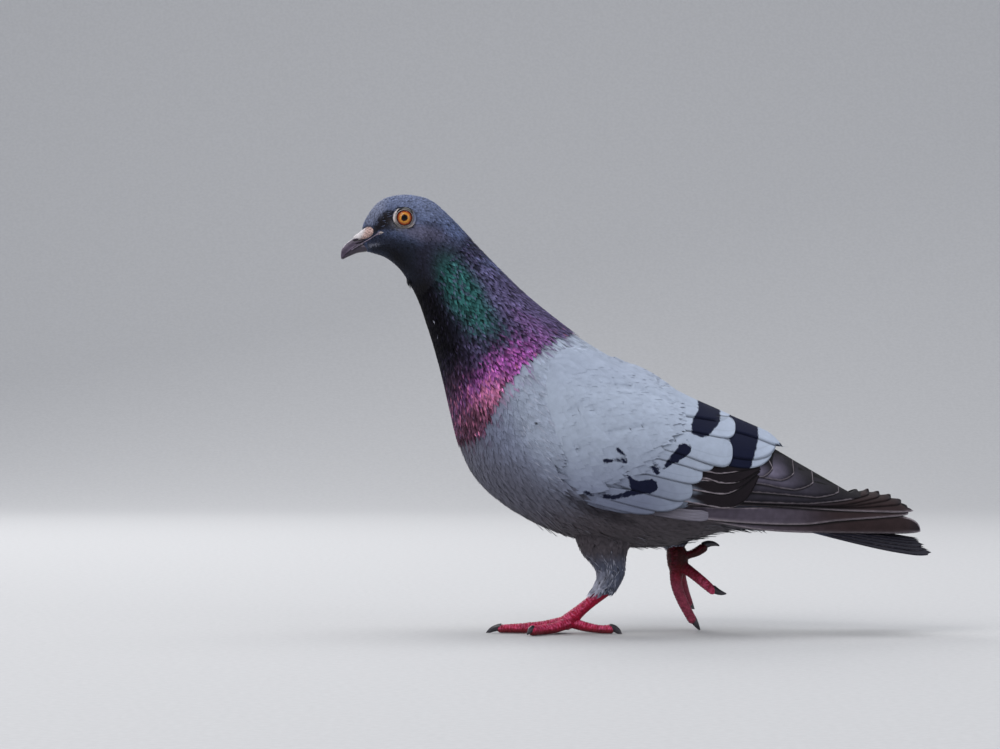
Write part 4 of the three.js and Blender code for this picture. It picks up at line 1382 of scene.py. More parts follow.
def island(columns, number, count):
    """A roomy patch of the bake map for one long feather: one cell of a grid, its length up the cell."""
    per_row = 6
    r, c = divmod(number, per_row)
    at = np.stack([columns["x"] * 0.46 + 0.5, columns["s"] * 0.94 + 0.03], -1)
    return (at + [c, r]) / [per_row, math.ceil(count / per_row)]


# Long feathers of the folded wing. Each has the points of its lower edge (x, z) in the side view, its width
# and its colour. Some have more: where the tip starts to close, how bluntly, its fray and its sag. They run
# from the uppermost to the lowest in each group, and the last outer one is a broad backing to the rest.
GREAT_COVERTS = (
    ([[-2, 109.4], [16, 105.2], [32, 102.2], [44.9, 100.4]], 16.0, "covert"),
    ([[8, 99.5], [26, 96.4], [36, 94.2], [42, 93.2], [47.6, 93.0]], 11.0, "covert"),
    ([[4, 90.0], [20, 85.5], [32, 81.2], [40, 79.2], [46.4, 79.0]], 15.0, "covert"),
    ([[-2, 86.0], [12, 82.6], [24, 79.2], [31, 77.2], [37.6, 76.6]], 11.0, "covert"),
    ([[-8, 79.0], [6, 75.4], [18, 72.4], [25, 71.0], [32.0, 70.8]], 10.5, "covert"),
    ([[-14, 72.0], [0, 67.5], [12, 64.2], [19, 62.6], [27.2, 62.4]], 11.0, "covert"),
    ([[-22, 66.0], [-6, 61.4], [6, 58.4], [14, 57.6], [23.6, 59.6]], 9.0, "covert"),
    ([[-28, 64.0], [-14, 59.6], [-2, 56.8], [5, 56.2], [11.4, 56.8]], 8.0, "covert"),
    ([[-36, 68.2], [-24, 62.4], [-14, 58.6], [-6, 56.8], [1.0, 56.6]], 8.0, "covert"),
    ([[-42, 73.4], [-33, 66.8], [-25, 62.0], [-17, 59.0], [-9.0, 57.2]], 7.0, "covert"),
    ([[2, 56.8], [14, 54.8], [26, 53.2], [36.4, 52.6]], 5.6, "primary_covert", 0.8, 1.6, 0.07, 4.2),
)
TERTIALS = (
    ([[16, 102.6], [36, 99.0], [56, 93.8], [70.4, 88.2]], 14.0, "covert", 0.8, 2.4),
    ([[24, 89.0], [40, 85.0], [54, 82.6], [62, 83.8], [69.0, 87.6]], 15.0, "covert"),
    ([[24, 84.0], [40, 80.6], [52, 78.6], [60, 80.0], [66.6, 84.6]], 8.0, "covert"),
)
INNER_FLIGHT = (
    ([[16, 78.4], [33.9, 76.7], [41, 75.8], [52.3, 77.6], [59.8, 79.2]], 8.0, "inner"),
    ([[16, 75.6], [33.9, 73.3], [41, 71.2], [50, 72.0], [60.2, 78.2]], 8.0, "inner"),
    ([[16, 70.4], [34.4, 66.8], [43, 66.0], [51, 69.4], [60.0, 77.0]], 8.0, "inner"),
    ([[16, 64.0], [31, 61.0], [44.9, 59.2], [54, 64.4], [59.6, 75.0]], 9.0, "inner"),
)
OUTER_FLIGHT = (
    ([[24, 80.0], [49.9, 76.3], [59.5, 74.4], [66.6, 75.6]], 21, "flight", 0.74, 1.15),
    ([[24, 77.0], [50, 75.6], [67.4, 73.0], [75.8, 72.4]], 26, "flight", 0.73, 1.15),
    ([[24, 73.0], [56.4, 71.2], [71.9, 68.6], [85.0, 67.6]], 28, "flight", 0.77, 1.15),
    ([[24, 69.0], [55.7, 66.8], [82.1, 64.8], [97.2, 63.4]], 27, "flight", 0.74, 1.15),
    ([[24, 65.0], [51.8, 62.2], [80, 61.2], [108.4, 61.6]], 24, "flight", 0.7, 1.15),
    ([[24, 64.0], [60, 62.0], [95, 62.4], [112.5, 66.4]], 9, "worn", 0.93, 2.0),
    ([[24, 63.4], [60, 61.4], [96, 60.8], [117.5, 65.2]], 9, "worn", 0.93, 2.0),
    ([[24, 62.6], [60, 61.0], [98, 60.2], [122.8, 63.8]], 9, "worn", 0.93, 2.0),
    ([[24, 62.0], [60, 60.8], [100, 59.6], [127.6, 61.4]], 9, "worn", 0.93, 2.0),
    ([[18, 60.6], [60, 60.2], [96, 58.2], [133.6, 57.2]], 11, "worn", 0.88, 1.8),
    ([[14, 55.6], [52.8, 52.0], [80.6, 51.2], [98, 53.0], [131.4, 55.8]], 9.5, "worn", 0.9, 2.4),
    ([[14, 55.2], [38, 52.3], [56.4, 49.1], [76.3, 47.5], [106, 47.0], [137.2, 46.8]], 9.2, "worn", 0.9, 1.9),
    ([[24, 86.0], [40, 84.0], [58, 80.6], [82, 76.0]], 24, "inner", 0.85, 1.2),
)
# Depth of each group's first feather under the wing's outer surface, and the step to the next one.
GREAT_DEPTH, TERTIAL_DEPTH, INNER_DEPTH, OUTER_DEPTH = (1.1, 0.15), (2.3, 0.2), (2.9, 0.22), (3.7, 0.2)


def wing_place(side):
    """A function of a place in the side view and a depth: the point of the folded wing there. The depth is
    taken inwards, and over the top a third of it downwards too, or less where the wing is flat."""
    surface = wing_surface(side)

    def place(x, z, depth):
        near = np.full(np.shape(x), 40.0)
        # the point's distance from the middle and its own x and z settle in three rounds
        for _ in range(3):
            scale = (SEEN_FAR - near) / SEEN_FAR
            own_x, own_z = SEEN_X + (x - SEEN_X) * scale, SEEN_Z + (z - SEEN_Z) * scale
            _, top, wide, low, *_ = wing_sizes(own_x)
            a = wing_angle(own_x, np.clip(own_z, low - 1.8, top + 0.5))
            p = surface(own_x, a)
            near = np.abs(p[..., 1])
        # the wing tip's feathers stand a little proud of the wing's upper edge
        proud = np.clip(own_z - p[..., 2], 0, 4) * smooth(63, 68, own_x)
        p[..., 1] -= side * depth * np.sin(a)
        p[..., 2] -= 0.35 * depth / (1 + depth / (0.35 * (top - wide))) * np.maximum(np.cos(a), 0) - proud
        return p

    return place


# Crest lines, every x and then every z in the side view: the highest that the coverts and tertials reach, and
# the wing tip, which is a straight line and then the fan of its longest feathers.
COVERT_CREST = (
    [-10, 14.6, 26.5, 44.9, 57.8, 63.3, 66.9, 69.7, 70.8],
    [132, 119, 113, 105, 99.4, 97, 94.2, 91, 89.4],
)
TIP_CREST = (
    [62, 68.9, 103, 106, 112, 117, 122, 127, 133, 140],
    [91.4, 87.4, 67.6, 69.7, 69.7, 68.4, 67, 64.4, 59, 54],
)


def covert_dip(x, z):
    """How much deeper the great coverts lie where the small coverts cover them, in millimetres."""
    covered = smooth(-2, -8, past_coverts(x, z)) * smooth(84, 100, z)
    return 1.9 * covered * smooth(0, 6, np.interp(x, *COVERT_CREST) - z)


NOT_COVERED = 9.0  # millimetres under the feather above, where there is none
LOWEST_TIPS = 9  # number of the first wing tip feather whose pale lower edge shows


def blade_tint(c, kind, number, x, z):
    """Colour of one long feather of a kind, from its place in the side view and on its own vane. Its distance
    from the rim is raised in c where it shows no pale fringe."""
    tint = plain_tint(len(x), kind)
    if kind == "covert":
        return wing_tone(x, z)
    if kind == "primary_covert":
        # painted shadow: darker towards its root and its upper edge, under the feathers above it
        tint = blend(tint, "face", 0.75 * smooth(27, 6, x - 2.2 * c["across"]))
        return tint * (0.85 + 0.15 * np.sin(c["across"] * 5 + 2 * np.sin(c["along"] * 0.25))[:, None])
    if kind == "inner":
        c["rim"] += 1.2 * smooth(42, 58, x)
        return blend(wing_tone(x, z), tint, smooth(20, 31, x + 2.5 * np.sin(c["across"] * 1.3)))
    if kind == "flight":
        c["rim"] += 3.0 * smooth(0.0, 1.0, c["over"]) + 1.5 * smooth(0.9, 1.0, c["s"]) * (number == 4)
        # painted light and shade: the lower half of each upper feather is lighter, less so down the rows, and
        # each feather lower down is darker
        lit = max(1.5 - 0.42 * number, 0.12) * smooth(0.35, -0.5, c["x"]) * smooth(0.97, 0.55, c["s"])
        return blend(tint * (1.0 - 0.09 * number), "flight_lit", lit)
    tint = blend(tint, "flight_lit", 0.4 * smooth(0.8, 0.3, c["s"]))
    if number < LOWEST_TIPS:
        c["rim"] += 2.0
    else:
        tint = blend(tint, "fringe", 0.5 * smooth(1.3, 0.2, c["rim"]) * (c["x"] < 0))
    return blend(tint, "flight", 0.8 * smooth(0.93, 1.0, c["s"]))


def blade_piece(name, place, side, blades, depths, material, slot, *nodes, marks=None, tooth=0.0, **shape):
    """One joined piece of long feathers, each a step deeper than the one before. The attribute below gives
    how far a point lies under the lower edge of the feather above it, in millimetres."""
    parts = []
    rng = draws(5)
    above = None
    for number, (edge, width, kind, *ends) in enumerate(blades):
        depth = depths[0] + depths[1] * number
        own = dict(zip(("round_from", "blunt", "fray", "sag"), ends), tooth=tooth * (kind == "worn"))
        points, faces, c, line = lay_blade(place, edge, width, depth, side, **{**shape, **own})
        x, z = seen(points)
        c["below"] = np.full(len(points), NOT_COVERED)
        if above is not None:
            c["below"] = np.where(x < above[-1, 0], np.interp(x, above[:, 0], above[:, 1]) - z, NOT_COVERED)
        above = line
        tint = blade_tint(c, kind, number, x, z) * math.exp(rng.normal(0, 0.05))
        c["tint"] = tint * (1.1 if number > LOWEST_TIPS else 1.0)
        c["bake"] = island(c, number, len(blades))
        parts.append((points, faces, c))
    points, faces, c = joined(parts)
    floats = {"x": c["x"], "rim": c["rim"], "below": c["below"]}
    if marks is not None:
        x, z = seen(points)
        floats["band"] = stroke_field(marks, x, z) - 3.0 * smooth(1, 3, c["over"][:, 0]) * (x > 60)
    light = 0.95 + 0.08 * smooth(0.2, 1.0, c["s"])
    obj = make_mesh(name, points, faces, uv=vane_map(c["along"], c["across"])[:, 0], bake=c["bake"],
                    tint=c["tint"] * light, **floats)
    return finish(weld(obj), material, slot, *nodes)


class PIGEON_OT_wing_coverts(bpy.types.Operator):
    """Lay the soft small coverts of both folded wings and the great coverts with the front bar"""

    bl_idname = "pigeon.wing_coverts"
    bl_label = "Wing coverts"

    def execute(self, context):
        soft = feather_material("covert_plumage", 0.8, 0.12, mottle=0.05, marked=True, sheen=0.05)
        barred = feather_material("great_covert_plumage", 0.75, 0.1, mottle=0.05, marked=True,
                                  layered=(0.5, 0.8))
        marks = FRONT_BAR + FLECK_STROKES
        for side, name in NAME.items():
            rng = draws(4)
            x, a = small_coverts(side, rng)
            surface = waved(wing_surface(side))
            at = surface(x + SMALL_COVERT * 0.7, a)
            upper = np.radians(wing_sizes(x)[5])
            sunk = 1.1 + 0.9 * smooth(-44, -53, x) + 2.0 * smooth(0.3, 0.0, a - upper) * smooth(-3, -18, x)
            # the last ones before the bar lie close to it
            last = smooth(-5, 0, past_coverts(*seen(surface(x + SMALL_COVERT, a))))
            lift = (0.14 + 0.16 * rng.random(len(x))) * (1 - 0.6 * last)
            coat(f"coat_wing_{name}", surface, x, a, soft, "plumage_pale", rng, SMALL_COVERT, 6.4, lift,
                 sink=sunk + 0.45 * last, lie=rng.normal(0, 0.1, len(x)), rows=9, cols=7, tip=0.62,
                 camber=0.03, thick=0.1, shade=(0.95, 1.02), jitter=0.022, soft=0.86, home=wing_home(x, a),
                 tones=(wing_tone(at[:, 0], at[:, 2]), np.zeros(len(x))),
                 band=lambda points: stroke_field(marks, *seen(points)))
            blade_piece(f"great_coverts_{name}", wing_place(side), side, GREAT_COVERTS, GREAT_DEPTH, barred,
                        "plumage_pale", marks=marks, rows=36, round_from=0.78, rise=0.5, camber=0.06,
                        thick=0.1, sag=0.7, crest=COVERT_CREST, under=covert_dip)
        return {"FINISHED"}


class PIGEON_OT_flight_feathers(bpy.types.Operator):
    """Lay the tertials with the rear bar and the inner and outer flight feathers of both folded wings"""

    bl_idname = "pigeon.flight_feathers"
    bl_label = "Flight feathers"

    def execute(self, context):
        barred = feather_material("tertial_plumage", 0.75, 0.1, mottle=0.05, marked=True, layered=(0.5, 0.8))
        inner = feather_material("inner_plumage", 0.6, 0.15, layered=(0.9, 0.3), fringe=(0.85, 0.85))
        outer = feather_material("flight_plumage", 0.62, 0.14, mottle=0.14, layered=(1.3, 0.14),
                                 fringe=(0.5, 0.9))
        for side, name in NAME.items():
            place = wing_place(side)
            blade_piece(f"tertials_{name}", place, side, TERTIALS, TERTIAL_DEPTH, barred, "plumage_pale",
                        f"wing_{name}_secondaries", marks=REAR_BAR + FLECK_STROKES, rise=0.3, round_from=0.78,
                        blunt=1.7, camber=0.06, thick=0.12, sag=0.4, crest=COVERT_CREST)
            blade_piece(f"inner_flight_{name}", place, side, INNER_FLIGHT, INNER_DEPTH, inner, "plumage_dark",
                        f"wing_{name}_secondaries", camber=0.06, thick=0.15)
            blade_piece(f"flight_feathers_{name}", place, side, OUTER_FLIGHT, OUTER_DEPTH, outer,
                        "plumage_dark", f"wing_{name}_primaries", rows=60, rise=0.16, camber=0.06, thick=0.15,
                        crest=TIP_CREST, tooth=1.6)
        return {"FINISHED"}


# -------------------- tail
TAIL_ROOT_X, TAIL_TIP_X = 58.0, 140.6
TAIL_ROOT_Z, TAIL_SLOPE, TAIL_DROOP = 56.8, -0.168, 7.0
TAIL_ROOT_HALF, TAIL_TIP_HALF = 15.0, 26.0
TAIL_FEATHERS, TAIL_FEATHER_WIDTH = 12, 13.0


def tail_place(x, y, depth):
    """The fanned tail: a gentle arch, level at its root and falling by the square of y towards its tip."""
    v = np.clip((x - TAIL_ROOT_X) / (TAIL_TIP_X - TAIL_ROOT_X), 0, 1)
    half = TAIL_ROOT_HALF + (TAIL_TIP_HALF - TAIL_ROOT_HALF) * np.sqrt(v)
    z = TAIL_ROOT_Z + TAIL_SLOPE * (x - TAIL_ROOT_X) - TAIL_DROOP * (y / half) ** 2 * np.sqrt(v)
    return np.stack([x, y, z - depth], -1)


class PIGEON_OT_tail(bpy.types.Operator):
    """Fan the twelve tail feathers, the middle pair on top"""

    bl_idname = "pigeon.tail"
    bl_label = "Tail feathers"

    def execute(self, context):
        material = feather_material("tail_plumage", 0.6, 0.15, mottle=0.12, fringe=(0.3, 0.35))
        parts = []
        outermost = (TAIL_FEATHERS - 1) / 2
        for number in range(TAIL_FEATHERS):
            place = number - outermost
            share = place / outermost
            root_y, tip_y = 9.0 * share, 19.6 * share
            tip_x = TAIL_TIP_X - 4.6 + 4.0 * share**2 - 1.2 * (number % 2)
            turn = 1 if share > 0 else -1
            edge = [[50, root_y + turn * 3.5], [84, root_y + (tip_y - root_y) * 0.45 + turn * 6.0],
                    [116, root_y + (tip_y - root_y) * 0.8 + turn * 6.4], [tip_x, tip_y + turn * 3.4]]
            depth = -1.2 + 0.42 * (abs(place) - 0.5) + (0.1 if share > 0 else 0)
            points, faces, c, _ = lay_blade(tail_place, edge, -turn * TAIL_FEATHER_WIDTH, depth, LEFT,
                                            camber=0.2, thick=0.3, rows=44, round_from=0.84, rise=0.4,
                                            blunt=1.6, fray=0.05)
            c["rim"] = np.abs(c["rim"])
            band = smooth(0.32, 0.4, c["s"] + 0.02 * np.sin(c["across"] * 2))
            c["tint"] = blend(plain_tint(len(points), "tail_base"), "tail", band)
            c["bake"] = island(c, number, TAIL_FEATHERS)
            parts.append((points, faces, c))
        points, faces, c = joined(parts)
        obj = make_mesh("tail_feathers", points, faces, uv=vane_map(c["along"], c["across"])[:, 0],
                        bake=c["bake"], tint=c["tint"], x=c["x"], rim=c["rim"])
        finish(weld(obj), material, "plumage_dark", "tail")
        return {"FINISHED"}


# -------------------- eyes
def body_place(x, z, side, depth=0.0):
    """The body's surface at places given in the side view: section and angle found by Newton steps."""
    x, z = np.broadcast_arrays(np.asarray(x, float), np.asarray(z, float))
    t, a = np.full(x.shape, 3.6), np.full(x.shape, 1.2)
    e = 1e-4
    for _ in range(12):
        p = body_surface(t, a, depth)
        pt, pa = (body_surface(t + e, a, depth) - p) / e, (body_surface(t, a + e, depth) - p) / e
        det = pt[..., 0] * pa[..., 2] - pt[..., 2] * pa[..., 0]
        dx, dz = x - p[..., 0], z - p[..., 2]
        t = np.clip(t + np.clip((dx * pa[..., 2] - dz * pa[..., 0]) / det, -0.5, 0.5), 0.0, 8.0)
        a = np.clip(a + np.clip((dz * pt[..., 0] - dx * pt[..., 2]) / det, -0.3, 0.3), 0.05, 3.1)
    p = body_surface(t, a, depth)
    p[..., 1] *= side
    return p


IRIS_RADIUS = 3.76
IRIS_X, IRIS_Z = EYE_X + 0.3, EYE_Z - 0.4  # the opening between the lids sits a little low on the ball


def eye_material():
    """Iris by distance from the eye's axis in millimetres: black pupil, amber then orange, a red brown rim,
    dark outside, uneven all over, under a clear wet coat."""
    mat, bsdf = new_material("eye", 0.08, 0.05)
    radius = maths(mat, "ADD", attribute(mat, "radius"), patchy(mat, 900, 3, -0.12, 0.12))
    inner, outer = tone("iris_inner"), tone("iris_outer")
    black = np.full(3, 0.002)
    rings = [(0.0, black), (1.36, black), (1.52, outer * 0.6), (1.85, inner),
             (2.5, inner * 0.55 + outer * 0.45), (3.0, outer * 1.1), (3.4, outer * 0.3), (3.62, black)]
    stops = [(millimetres / EYE_RADIUS, rgb) for millimetres, rgb in rings]
    iris = ramp(mat, maths(mat, "DIVIDE", radius, EYE_RADIUS), stops)
    paint(mat, bsdf, iris, patchy(mat, 1500, 5, 0.75, 1.25))
    preset(bsdf, Coat_Weight=0.3, Coat_Roughness=0.03)
    return mat


class PIGEON_OT_eyes(bpy.types.Operator):
    """Make the two eyeballs with their orange irises"""

    bl_idname = "pigeon.eyes"
    bl_label = "Eyes"

    def execute(self, context):
        material = eye_material()
        rows, cols = 72, 72
        for side, name in NAME.items():
            # rings round the eye's own axis, closer together over the iris, with a slight dome over it
            theta = np.pi * np.linspace(0, 1, rows) ** 1.4
            th, ph = np.meshgrid(theta, turns(cols), indexing="ij")
            flat = EYE_RADIUS * np.sin(th)
            dome = 0.28 * smooth(IRIS_RADIUS + 0.3, 0.0, flat) * (th < np.pi / 2)
            points = np.stack([
                IRIS_X + flat * np.cos(ph),
                side * (EYE_Y + EYE_RADIUS * np.cos(th) + dome),
                IRIS_Z + flat * np.sin(ph),
            ], -1)
            obj = make_mesh(f"eyeball_{name}", points, grid_faces(rows, cols, wrap=True),
                            radius=np.where(th < np.pi / 2, flat, EYE_RADIUS))
            finish(weld(obj), material, "eye", f"eye_{name}")
        return {"FINISHED"}


class PIGEON_OT_eyelids(bpy.types.Operator):
    """Make the bare folded rings of skin round the eyes"""

    bl_idname = "pigeon.eyelids"
    bl_label = "Eye rings"

    def execute(self, context):
        mat, bsdf = new_material("eye_ring", 0.55)
        paint(mat, bsdf, tinted(mat), patchy(mat, 1400, 5, 0.7, 1.2))
        bump(mat, bsdf, noise(mat, 2600, 4), 0.00012)
        for side, name in NAME.items():
            rows, cols = 22, 160
            k, phi = np.meshgrid(np.linspace(0, 1, rows), turns(cols), indexing="ij")
            # the ring is drawn out to a blunt corner before and behind the eye, the front one a little higher
            corner = np.abs(np.cos(phi + math.radians(16))) ** 3
            inner = IRIS_RADIUS - 0.05 + 0.25 * corner * (np.cos(phi) < 0)
            outer = 5.35 + 0.4 * corner
            r = inner + (outer - inner) * np.clip((k - 0.12) / 0.88, 0, 1)
            x, z = IRIS_X + r * np.cos(phi), IRIS_Z + r * np.sin(phi)
            ball = EYE_Y + np.sqrt(np.clip(EYE_RADIUS**2 - np.minimum(r, 5.0) ** 2, 0.01, None))
            head = np.abs(body_place(x, z, 1)[..., 1])
            lip = 0.4 * hill(k, 0.22, 0.12) + 0.22 * hill(k, 0.6, 0.16)
            fold = 0.05 * np.cos(phi * 34) * np.sin(np.pi * k)
            y = ball + (head - 0.1 - ball) * smooth(0.15, 0.85, k) + lip + fold
            y = np.where(k < 0.12, ball - 0.5 + 0.5 * k / 0.12 + lip, y)
            y = y - 0.9 * smooth(0.88, 1.0, k)
            points = np.stack([x, side * y, z], -1)
            # pale crescents before and above, and behind and below; dusky behind and above, which is painted
            # shade
            facing = lambda degrees: np.cos(phi - math.radians(degrees))
            tint = np.ones((rows, cols, 3)) * tone("eye_ring")
            tint = blend(tint * 0.6, "eye_ring", smooth(0, 0.8, facing(150)))
            for rgb, share, degrees, (low, high), (start, end) in (
                (tone("cere"), 0.5, 150, (0.5, 1.0), (0.3, 0.6)),
                (tone("face") * 1.4, 0.85, 48, (0.35, 0.9), (0.3, 0.5)),
                (tone("under_eye") * 0.8, 0.9, 250, (0.45, 0.9), (0.36, 0.56)),
                (tone("nape"), 0.8, 0, (0.75, 1.0), (0.3, 0.45)),
            ):
                tint = blend(tint, rgb, share * smooth(low, high, facing(degrees)) * smooth(start, end, k))
            tint = blend(tint, "face", 0.35 * hill(k, 0.4, 0.07))
            tint = blend(tint, "face", smooth(0.2, 0.12, k))
            obj = make_mesh(f"eye_ring_{name}", points, grid_faces(rows, cols, wrap=True), tint=tint)
            solid = obj.modifiers.new("skin thickness", "SOLIDIFY")
            solid.thickness = 0.0004
            solid.offset = -side
            finish(obj, mat, "cere")
        return {"FINISHED"}


# -------------------- bill
# Bill sections: lower point (x, z), upper point (x, z), half width.
BILL_UPPER = [
    [-124, 189, -125.6, 194.4, 3.2], [-129.6, 187, -131.4, 192, 3.4], [-134, 184.8, -135.8, 189, 2.9],
    [-137.4, 182.4, -138.8, 186.7, 2.4], [-140, 180.2, -141.2, 183.8, 1.8],
    [-141.4, 178.9, -141.7, 180.6, 0.8],
]
BILL_LOWER = [
    [-125, 183.6, -124, 189.2, 2.4], [-129.6, 182.5, -129.6, 187.8, 2.7], [-133.6, 181.9, -134.2, 186, 2.2],
    [-136.8, 180.7, -137.6, 183.8, 1.6], [-140.9, 178.8, -141.1, 180.9, 0.8],
]
CERE_Y, CERE_WIDE = 2.6, 3.3  # each lobe's middle and half width
# The gape in the side view: the line where the halves of the bill meet, and on over the cheek to a small pad.
GAPE = [
    [-136.4, 183.4], [-134.2, 184.8], [-131.3, 186.5], [-128.0, 188.2], [-125.2, 189.9], [-122.8, 191.2],
    [-120.8, 191.4],
]
# Nostril slits under the cere and the pale spot at the root of the lower half, as strokes in the side view.
NOSTRIL = (
    (-135.4, 187.7, -128.6, 188.8, 0.2, 0.65),
    (-134.2, 186.2, -129.6, 187.5, 0.15, 0.4),
)
PALE_SPOT = ((-131.4, 185.0, -127.5, 185.8, 0.1, 0.4),)


def bill_surface(rows):
    """A function of section t of a half of the bill and angle a: an ellipse made a little squarer by raising
    sine and cosine to a power under 1."""
    squared = lambda value: np.sign(value) * np.abs(value) ** 0.86

    def surface(t, a, depth=0.0):
        *ends, half = np.moveaxis(flow(rows, t), -1, 0)
        x, z = between(ends, squared(np.cos(a)), depth)
        return np.stack([x, (half - depth) * squared(np.sin(a)), z], -1)

    return surface


class PIGEON_OT_bill(bpy.types.Operator):
    """Make the two halves of the bill, with the pale line of the gape"""

    bl_idname = "pigeon.bill"
    bl_label = "Bill"

    def execute(self, context):
        mat, bsdf = new_material("horn", 0.38)
        paint(mat, bsdf, tinted(mat), patchy(mat, 700, 6, 0.75, 1.25, stretch=(0.35, 1, 1)))
        bump(mat, bsdf, noise(mat, 1600, 5, (0.3, 1, 1)), 0.00008)
        for name, rows, top in (("upper", BILL_UPPER, True), ("lower", BILL_LOWER, False)):
            last = len(rows) - 1
            points, faces, t, a = closed_tube(bill_surface(rows), np.linspace(0, last, 70), 64, 0.0)
            c, s = np.cos(a), np.abs(np.sin(a))
            x, z, outward = points[..., 0], points[..., 2], np.sign(points[..., 1])
            share = t / last
            horn = np.ones(points.shape) * tone("bill")
            # each half has a flange along its cutting edge, and the upper one a slit nostril under the cere
            if top:
                nostril = smooth(-0.35, 0.15, stroke_field(NOSTRIL, x, z))
                flange = hill(c, -0.62, 0.2) * smooth(0.0, 0.2, share) * smooth(1.0, 0.7, share)
                points[..., 1] += outward * (0.32 * flange - 0.75 * nostril) * s
                tint = blend(horn, "bill_edge", 0.7 * flange * smooth(0.8, 0.5, share))
                tint = blend(tint, "bill_edge", 0.55 * smooth(0.45, 0.75, share) * smooth(0.2, 0.9, c))
                # painted shade: the slit nostril darkened, as its opening lies in shade
                tint = blend(tint, tone("bill") * 0.25, np.clip(nostril * 1.5, 0, 1))
            else:
                flange = hill(c, 0.66, 0.2) * smooth(1.0, 0.6, share)
                points[..., 1] += outward * 0.2 * flange * s
                tint = blend(horn * 0.5, "bill_edge", 0.12 * flange)
                tint = blend(tint, "face", smooth(0.35, 0.0, share))
                pale = smooth(-0.5, 0.2, stroke_field(PALE_SPOT, x, z))
                tint = blend(tint, "bill_edge", 0.7 * pale)
            obj = weld(make_mesh(f"mandible_{name}", points, faces, tint=tint))
            finish(obj, mat, "horn", f"bill_{name}")
        return {"FINISHED"}


class PIGEON_OT_cere(bpy.types.Operator):
    """Make the two swollen lobes of the cere and the pale skin of the gape"""

    bl_idname = "pigeon.cere"
    bl_label = "Cere and gape"

    def execute(self, context):
        mat, bsdf = new_material("cere", 0.65)
        # dark specks, except on the front of the lobes
        specks = patchy(mat, 1500, 5, 1.12, 0.45, (0.42, 0.6))
        paint(mat, bsdf, tinted(mat), maths(mat, "MAXIMUM", specks, attribute(mat, "front")))
        bump(mat, bsdf, noise(mat, 2400, 5), 0.0002)
        parts = []
        rows, cols = 48, 48
        for side in NAME:
            th, ph = np.meshgrid(np.linspace(0, np.pi, rows), turns(cols), indexing="ij")
            run = -np.cos(th)  # -1 at the front
            swell = 1 + 0.08 * np.cos(3 * th) + 0.05 * np.sin(2 * ph) * np.sin(th)
            flat = np.sin(th) ** 0.8 * swell * (1 - 0.1 * hill(run, -0.45, 0.1)) * (0.8 + 0.29 * run)
            across = flat * np.cos(ph) * CERE_WIDE
            x, z = tilted(run * CERE_HALF, flat * np.sin(ph) * CERE_HIGH, -CERE_PITCH)
            points = np.stack([CERE_X + x, side * (CERE_Y + 1.5 * run) + across, CERE_Z + z], -1)
            front = smooth(0.1, -0.5, run - 0.4 * np.sin(ph) * np.sin(th))
            tint = blend(np.ones(points.shape) * tone("cere_rear"), "cere", front)
            parts.append((points, grid_faces(rows, cols, wrap=True), {"front": front, "tint": tint}))
            # a thin fleshy lip along the gape, swelling to the pad at its end
            x, z = flow(GAPE, np.linspace(0, len(GAPE) - 1, 60)).T
            pad = smooth(-124.8, -122.6, x)
            on_head = body_place(x, z, 1, -0.15)[:, 1] - 0.4 * pad
            on_bill = np.interp(x, [-136.0, -132.0, -128.0], [2.2, 3.1, 3.4])
            y = np.where(x < -130.6, on_bill, np.maximum(on_head, on_bill))
            ripple = 1 + 0.12 * np.sin(x * 5.3) + 0.06 * np.sin(x * 11.9)
            radius = (0.2 + 0.5 * pad) * ripple * smooth(-120.6, -122.6, x) + 0.04
            points, faces = tube(np.column_stack([x, side * y, z, radius]), ring=12, steps=90)
            lip = np.ones(points.shape) * tone("bill_edge")
            tint = blend(lip, "eye_ring", smooth(-123.4, -122.2, points[..., 0]))
            parts.append((points, faces, {"front": np.full(points.shape[:2], 0.3), "tint": tint}))
        points, faces, columns = joined(parts)
        obj = make_mesh("cere_lobes", points, faces, **columns)
        finish(weld(obj), mat, "cere", "cere")
        return {"FINISHED"}


# -------------------- claws
def claw(side, number):
    """A curved tapering claw from the end of a toe: it turns down evenly along its length."""
    length, turn = CLAWS[side, number]
    path = np.array(TOES[side, number], float)
    run = unit(path[3, :3] - path[2, :3])
    across = unit(np.array([-run[1], run[0], 0]))
    down = np.cross(across, run)
    down *= np.sign(-down[2]) if abs(down[2]) > 1e-6 else 1
    start = path[3, :3] + np.array([0, 0, 0.45 * path[3, 3]])
    s = np.linspace(0, 1, 26)
    angle = np.radians(turn) * s
    step = np.cos(angle)[:, None] * run + np.sin(angle)[:, None] * down
    travel = np.concatenate([[[0, 0, 0]], np.cumsum((step[1:] + step[:-1]) / 2, axis=0)])
    middle = start + travel * length / (len(s) - 1)
    radius = CLAW_RADIUS * (1 - 0.84 * s**2)
    up = np.cross(step, across)
    phi = turns(18)[None, :, None]
    ring = 0.8 * np.cos(phi) * across + np.sin(phi) * up[:, None]
    points = middle[:, None] + ring * radius[:, None, None]
    points[..., 2] = np.maximum(points[..., 2], 0.0)
    points = capped(points)
    return points, grid_faces(*points.shape[:2], wrap=True)


class PIGEON_OT_claws(bpy.types.Operator):
    """Make the eight claws"""

    bl_idname = "pigeon.claws"
    bl_label = "Claws"

    def execute(self, context):
        mat, bsdf = new_material("claw", 0.35)
        shade = ramp(mat, patchy(mat, 500, 5), [(0, tone("claw") * 0.6), (1, tone("claw") * 1.5)])
        link(mat, shade, bsdf.inputs["Base Color"])
        bump(mat, bsdf, noise(mat, 1500, 4), 0.00005)
        points, faces, _ = joined([(*claw(*key), {}) for key in CLAWS])
        nodes = [f"claw_{NAME[side]}_{number}" for side, number in CLAWS]
        finish(weld(make_mesh("claws_all", points, faces)), mat, "claw", *nodes)
        return {"FINISHED"}


